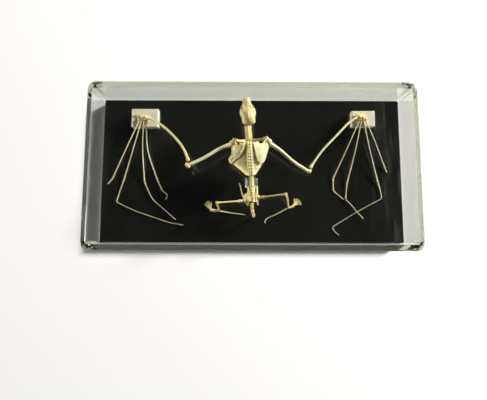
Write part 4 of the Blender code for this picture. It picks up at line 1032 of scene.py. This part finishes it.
class Look:
    """The nodes of a material or of the surroundings, and their shader."""

    def __init__(self, owner, shader="Principled BSDF"):
        owner.use_nodes = True
        self.owner = owner
        self.nodes = owner.node_tree.nodes
        self.shader = self.nodes[shader]
        self.join = owner.node_tree.links.new

    def add(self, kind, **values):
        node = self.nodes.new("ShaderNode" + kind)
        set_values(node, **values)
        return node

    def feed(self, socket, value):
        self.join(value, self.shader.inputs[socket])

    def noise(self, where, scale, detail, roughness):
        node = self.add("TexNoise", Scale=scale, Detail=detail, Roughness=roughness)
        self.join(where, node.inputs["Vector"])
        return node.outputs["Fac"]

    def ramp(self, value, *stops):
        """A ramp over a value, by stops with a position and a colour or a grey."""
        node = self.add("ValToRGB")
        elements = node.color_ramp.elements
        while len(elements) < len(stops):
            elements.new(0.5)
        for element, (position, colour) in zip(elements, stops):
            element.position = position
            element.color = (*colour, 1.0) if isinstance(colour, tuple) else (colour, colour, colour, 1.0)
        self.join(value, node.inputs["Fac"])
        return node.outputs["Color"]

    def mix(self, factor, first, second, blend="MIX"):
        node = self.add("Mix")
        node.data_type = "RGBA"
        node.blend_type = blend
        for socket, value in ((node.inputs[0], factor), (node.inputs[6], first), (node.inputs[7], second)):
            if hasattr(value, "links"):
                self.join(value, socket)
            elif isinstance(value, float):
                socket.default_value = value
            else:
                socket.default_value = (*value, 1.0)
        return node.outputs[2]


def set_values(node, **values):
    """Set a node's sockets, each named with a low line for its blank."""
    for name, value in values.items():
        node.inputs[name.replace("_", " ")].default_value = value


def bone_material(name, pale, gold, gold_from, gold_to):
    """Dry bone: pale with golden grease stains, fine speckle and a porous surface."""
    look = Look(bpy.data.materials.new(name))
    where = look.add("TexCoord").outputs["Object"]
    colour = look.ramp(look.noise(where, 260.0, 4.0, 0.6), (gold_from, pale), (gold_to, gold))
    speckle = look.noise(where, 1700.0, 3.0, 0.6)
    dark = look.ramp(speckle, (0.36, (0.72, 0.62, 0.42)), (0.56, 1.0))
    look.feed("Base Color", look.mix(0.8, colour, dark, "MULTIPLY"))
    bump = look.add("Bump", Strength=0.25, Distance=0.00006)
    look.join(look.noise(where, 5200.0, 2.0, 0.5), bump.inputs["Height"])
    look.feed("Normal", bump.outputs["Normal"])
    look.feed("Roughness", look.ramp(speckle, (0.3, 0.6), (0.7, 0.42)))
    set_values(look.shader, Subsurface_Weight=0.12, Subsurface_Radius=(1.0, 0.7, 0.35),
               Subsurface_Scale=0.0008)
    return look.owner


def base_material():
    """Polished black plastic, its gloss patchy, with lighter grey streaks near the right end painted as the
    bright right wall's reflection.
    """
    look = Look(bpy.data.materials.new("black_base_look"))
    where = look.add("TexCoord").outputs["Object"]
    haze = look.noise(where, 28.0, 5.0, 0.6)
    colour = look.ramp(haze, (0.35, (0.005, 0.0055, 0.0045)), (0.75, (0.010, 0.011, 0.0095)))
    # Painted reflection: lighter grey streaks stretched along the base's depth fade in towards its right end
    # and stand for the bright right wall mirrored in the polished top
    stretch = look.add("Mapping", Scale=(1.0, 0.12, 1.0))
    look.join(where, stretch.inputs["Vector"])
    reflection_streaks = look.ramp(look.noise(stretch.outputs["Vector"], 230.0, 3.0, 0.6), (0.48, 0.0), (0.68, 1.0))
    axes = look.add("SeparateXYZ")
    look.join(where, axes.inputs["Vector"])
    near_end = look.add("MapRange", From_Min=PAINTED_REFLECTION_FROM, From_Max=PAINTED_REFLECTION_TO)
    look.join(axes.outputs["X"], near_end.inputs["Value"])
    painted_reflection = look.mix(near_end.outputs["Result"], (0.0, 0.0, 0.0), reflection_streaks)
    look.feed("Base Color", look.mix(painted_reflection, colour, (0.035, 0.038, 0.034)))
    look.feed("Roughness", look.ramp(look.noise(where, 160.0, 4.0, 0.6), (0.3, 0.06), (0.75, 0.2)))
    set_values(look.shader, Coat_Weight=0.6, Coat_Roughness=0.04)
    return look.owner


def clear_material(name, tint, depth_colour, density, roughness=0.015):
    """Clear plastic, tinted where one looks along it."""
    look = Look(bpy.data.materials.new(name))
    set_values(look.shader, Base_Color=(*tint, 1.0), Roughness=roughness, IOR=1.49, Transmission_Weight=1.0)
    inside = look.add("VolumeAbsorption", Color=(*depth_colour, 1.0), Density=density)
    output = next(n for n in look.nodes if n.type == "OUTPUT_MATERIAL")
    look.join(inside.outputs["Volume"], output.inputs["Volume"])
    return look.owner


def cream_material():
    look = Look(bpy.data.materials.new("cream_block_look"))
    haze = look.noise(look.add("TexCoord").outputs["Object"], 300.0, 4.0, 0.6)
    look.feed("Base Color", look.ramp(haze, (0.35, (0.66, 0.62, 0.49)), (0.7, (0.58, 0.53, 0.39))))
    set_values(look.shader, Roughness=0.5)
    return look.owner


pale_bone = bone_material("pale_bone", (0.64, 0.61, 0.40), (0.57, 0.48, 0.20), 0.46, 0.76)
warm_bone = bone_material("warm_bone", (0.64, 0.59, 0.31), (0.55, 0.43, 0.12), 0.42, 0.70)
gold_bone = bone_material("gold_bone", (0.66, 0.59, 0.31), (0.52, 0.38, 0.11), 0.40, 0.66)
skull_bone = bone_material("skull_bone", (0.56, 0.51, 0.27), (0.48, 0.38, 0.11), 0.42, 0.70)
yellow_bone = bone_material("yellow_bone", (0.86, 0.79, 0.40), (0.76, 0.61, 0.18), 0.44, 0.70)
# Paler bone for the right side's pieces, painted as lit by the light from the right
lit_right_side_bone = bone_material("lit_right_side_bone", (0.75, 0.73, 0.47), (0.66, 0.58, 0.26), 0.46, 0.76)
toe_bone = bone_material("toe_bone", (0.82, 0.72, 0.36), (0.72, 0.53, 0.14), 0.42, 0.66)

build_base(base_material())
build_cover(clear_material("clear_cover_look", (1.0, 1.0, 0.99), (0.66, 0.685, 0.58), 55.0))
build_post(clear_material("clear_post_look", (0.95, 0.95, 0.97), (0.9, 0.92, 0.85), 4.0, 0.22))
cream = cream_material()
build_skull(skull_bone)
build_mandible(skull_bone)
build_neck(warm_bone)
build_loin(warm_bone)
build_pelvis(yellow_bone)
build_tail(warm_bone)
for side in (LEFT, RIGHT):
    build_block(side, cream)
    # Painted light and shade: each chest half gets a bone colour for how the light from the right falls on
    # it, the right the paler lit one, the shaded left a yellower one made brighter against its shade
    chest_bone_by_light = yellow_bone if side == LEFT else lit_right_side_bone
    build_rib_cage(side, chest_bone_by_light)
    build_scapula(side, chest_bone_by_light)
    build_clavicle(side, gold_bone)
    build_humerus(side, pale_bone)
    # Painted light and shade: the left forearm, away from the light, gets the darker skull bone, the right
    # one the paler lit bone
    build_forearm(side, skull_bone if side == LEFT else lit_right_side_bone)
    build_wrist(side, gold_bone)
    build_thumb(side, warm_bone)
    for digit in FINGERS[side]:
        build_finger(side, digit, pale_bone)
    build_femur(side, warm_bone)
    build_tibia(side, warm_bone)
    build_foot(side, toe_bone)
    build_heel_spur(side, pale_bone)

# Pale floor
bpy.ops.mesh.primitive_plane_add(size=12.0, location=(0, 0, 0))
floor = bpy.context.object
floor.name = "floor"
floor_look = Look(bpy.data.materials.new("pale_floor"))
set_values(floor_look.shader, Base_Color=(0.95, 0.95, 0.94, 1.0), Roughness=0.8)
floor.data.materials.append(floor_look.owner)

# Pale surroundings near the horizon, dark overhead
scene.world = bpy.data.worlds.new("surroundings")
sky = Look(scene.world, "Background")
split = sky.add("SeparateXYZ")
sky.join(sky.add("TexCoord").outputs["Generated"], split.inputs["Vector"])
sky.feed("Color", sky.ramp(split.outputs["Z"], (0.0, (0.8, 0.8, 0.79)), (0.1, (0.45, 0.45, 0.44)),
                           (0.35, 0.03), (1.0, 0.02)))
scene.view_settings.view_transform = "Standard"

LIGHT_AIM = Vector((0, 0, 0.02))


def soft_light(name, spot, size, power, colour):
    """A round lamp turned towards the middle of the case."""
    lamp = bpy.data.lights.new(name, "AREA")
    lamp.shape = "DISK"
    lamp.size = size
    lamp.energy = power
    lamp.color = colour
    holder = bpy.data.objects.new(name, lamp)
    holder.location = spot
    holder.rotation_euler = (LIGHT_AIM - Vector(spot)).to_track_quat("-Z", "Y").to_euler()
    scene.collection.objects.link(holder)


soft_light("key", (1.50, 0.95, 0.72), 0.33, 95.0, (1.0, 0.98, 0.95))
soft_light("left_fill", (-1.7, -0.2, 0.20), 0.36, 28.0, (1.0, 1.0, 1.0))

# Camera looking down on the case from a little in front of its middle
FOCAL_LENGTH = 40.5
VIEW_SHIFT = -0.1232
VIEW_SPOT = (-0.0058, -0.0387, 0.3624)
VIEW_TURN = (9.35, -0.1, 0.17)
lens = bpy.data.cameras.new("camera")
lens.lens = FOCAL_LENGTH
lens.sensor_width = 36.0
lens.shift_y = VIEW_SHIFT
lens.clip_start = 0.001
viewer = bpy.data.objects.new("camera", lens)
viewer.location = VIEW_SPOT
viewer.rotation_euler = [math.radians(angle) for angle in VIEW_TURN]
scene.collection.objects.link(viewer)
scene.camera = viewer
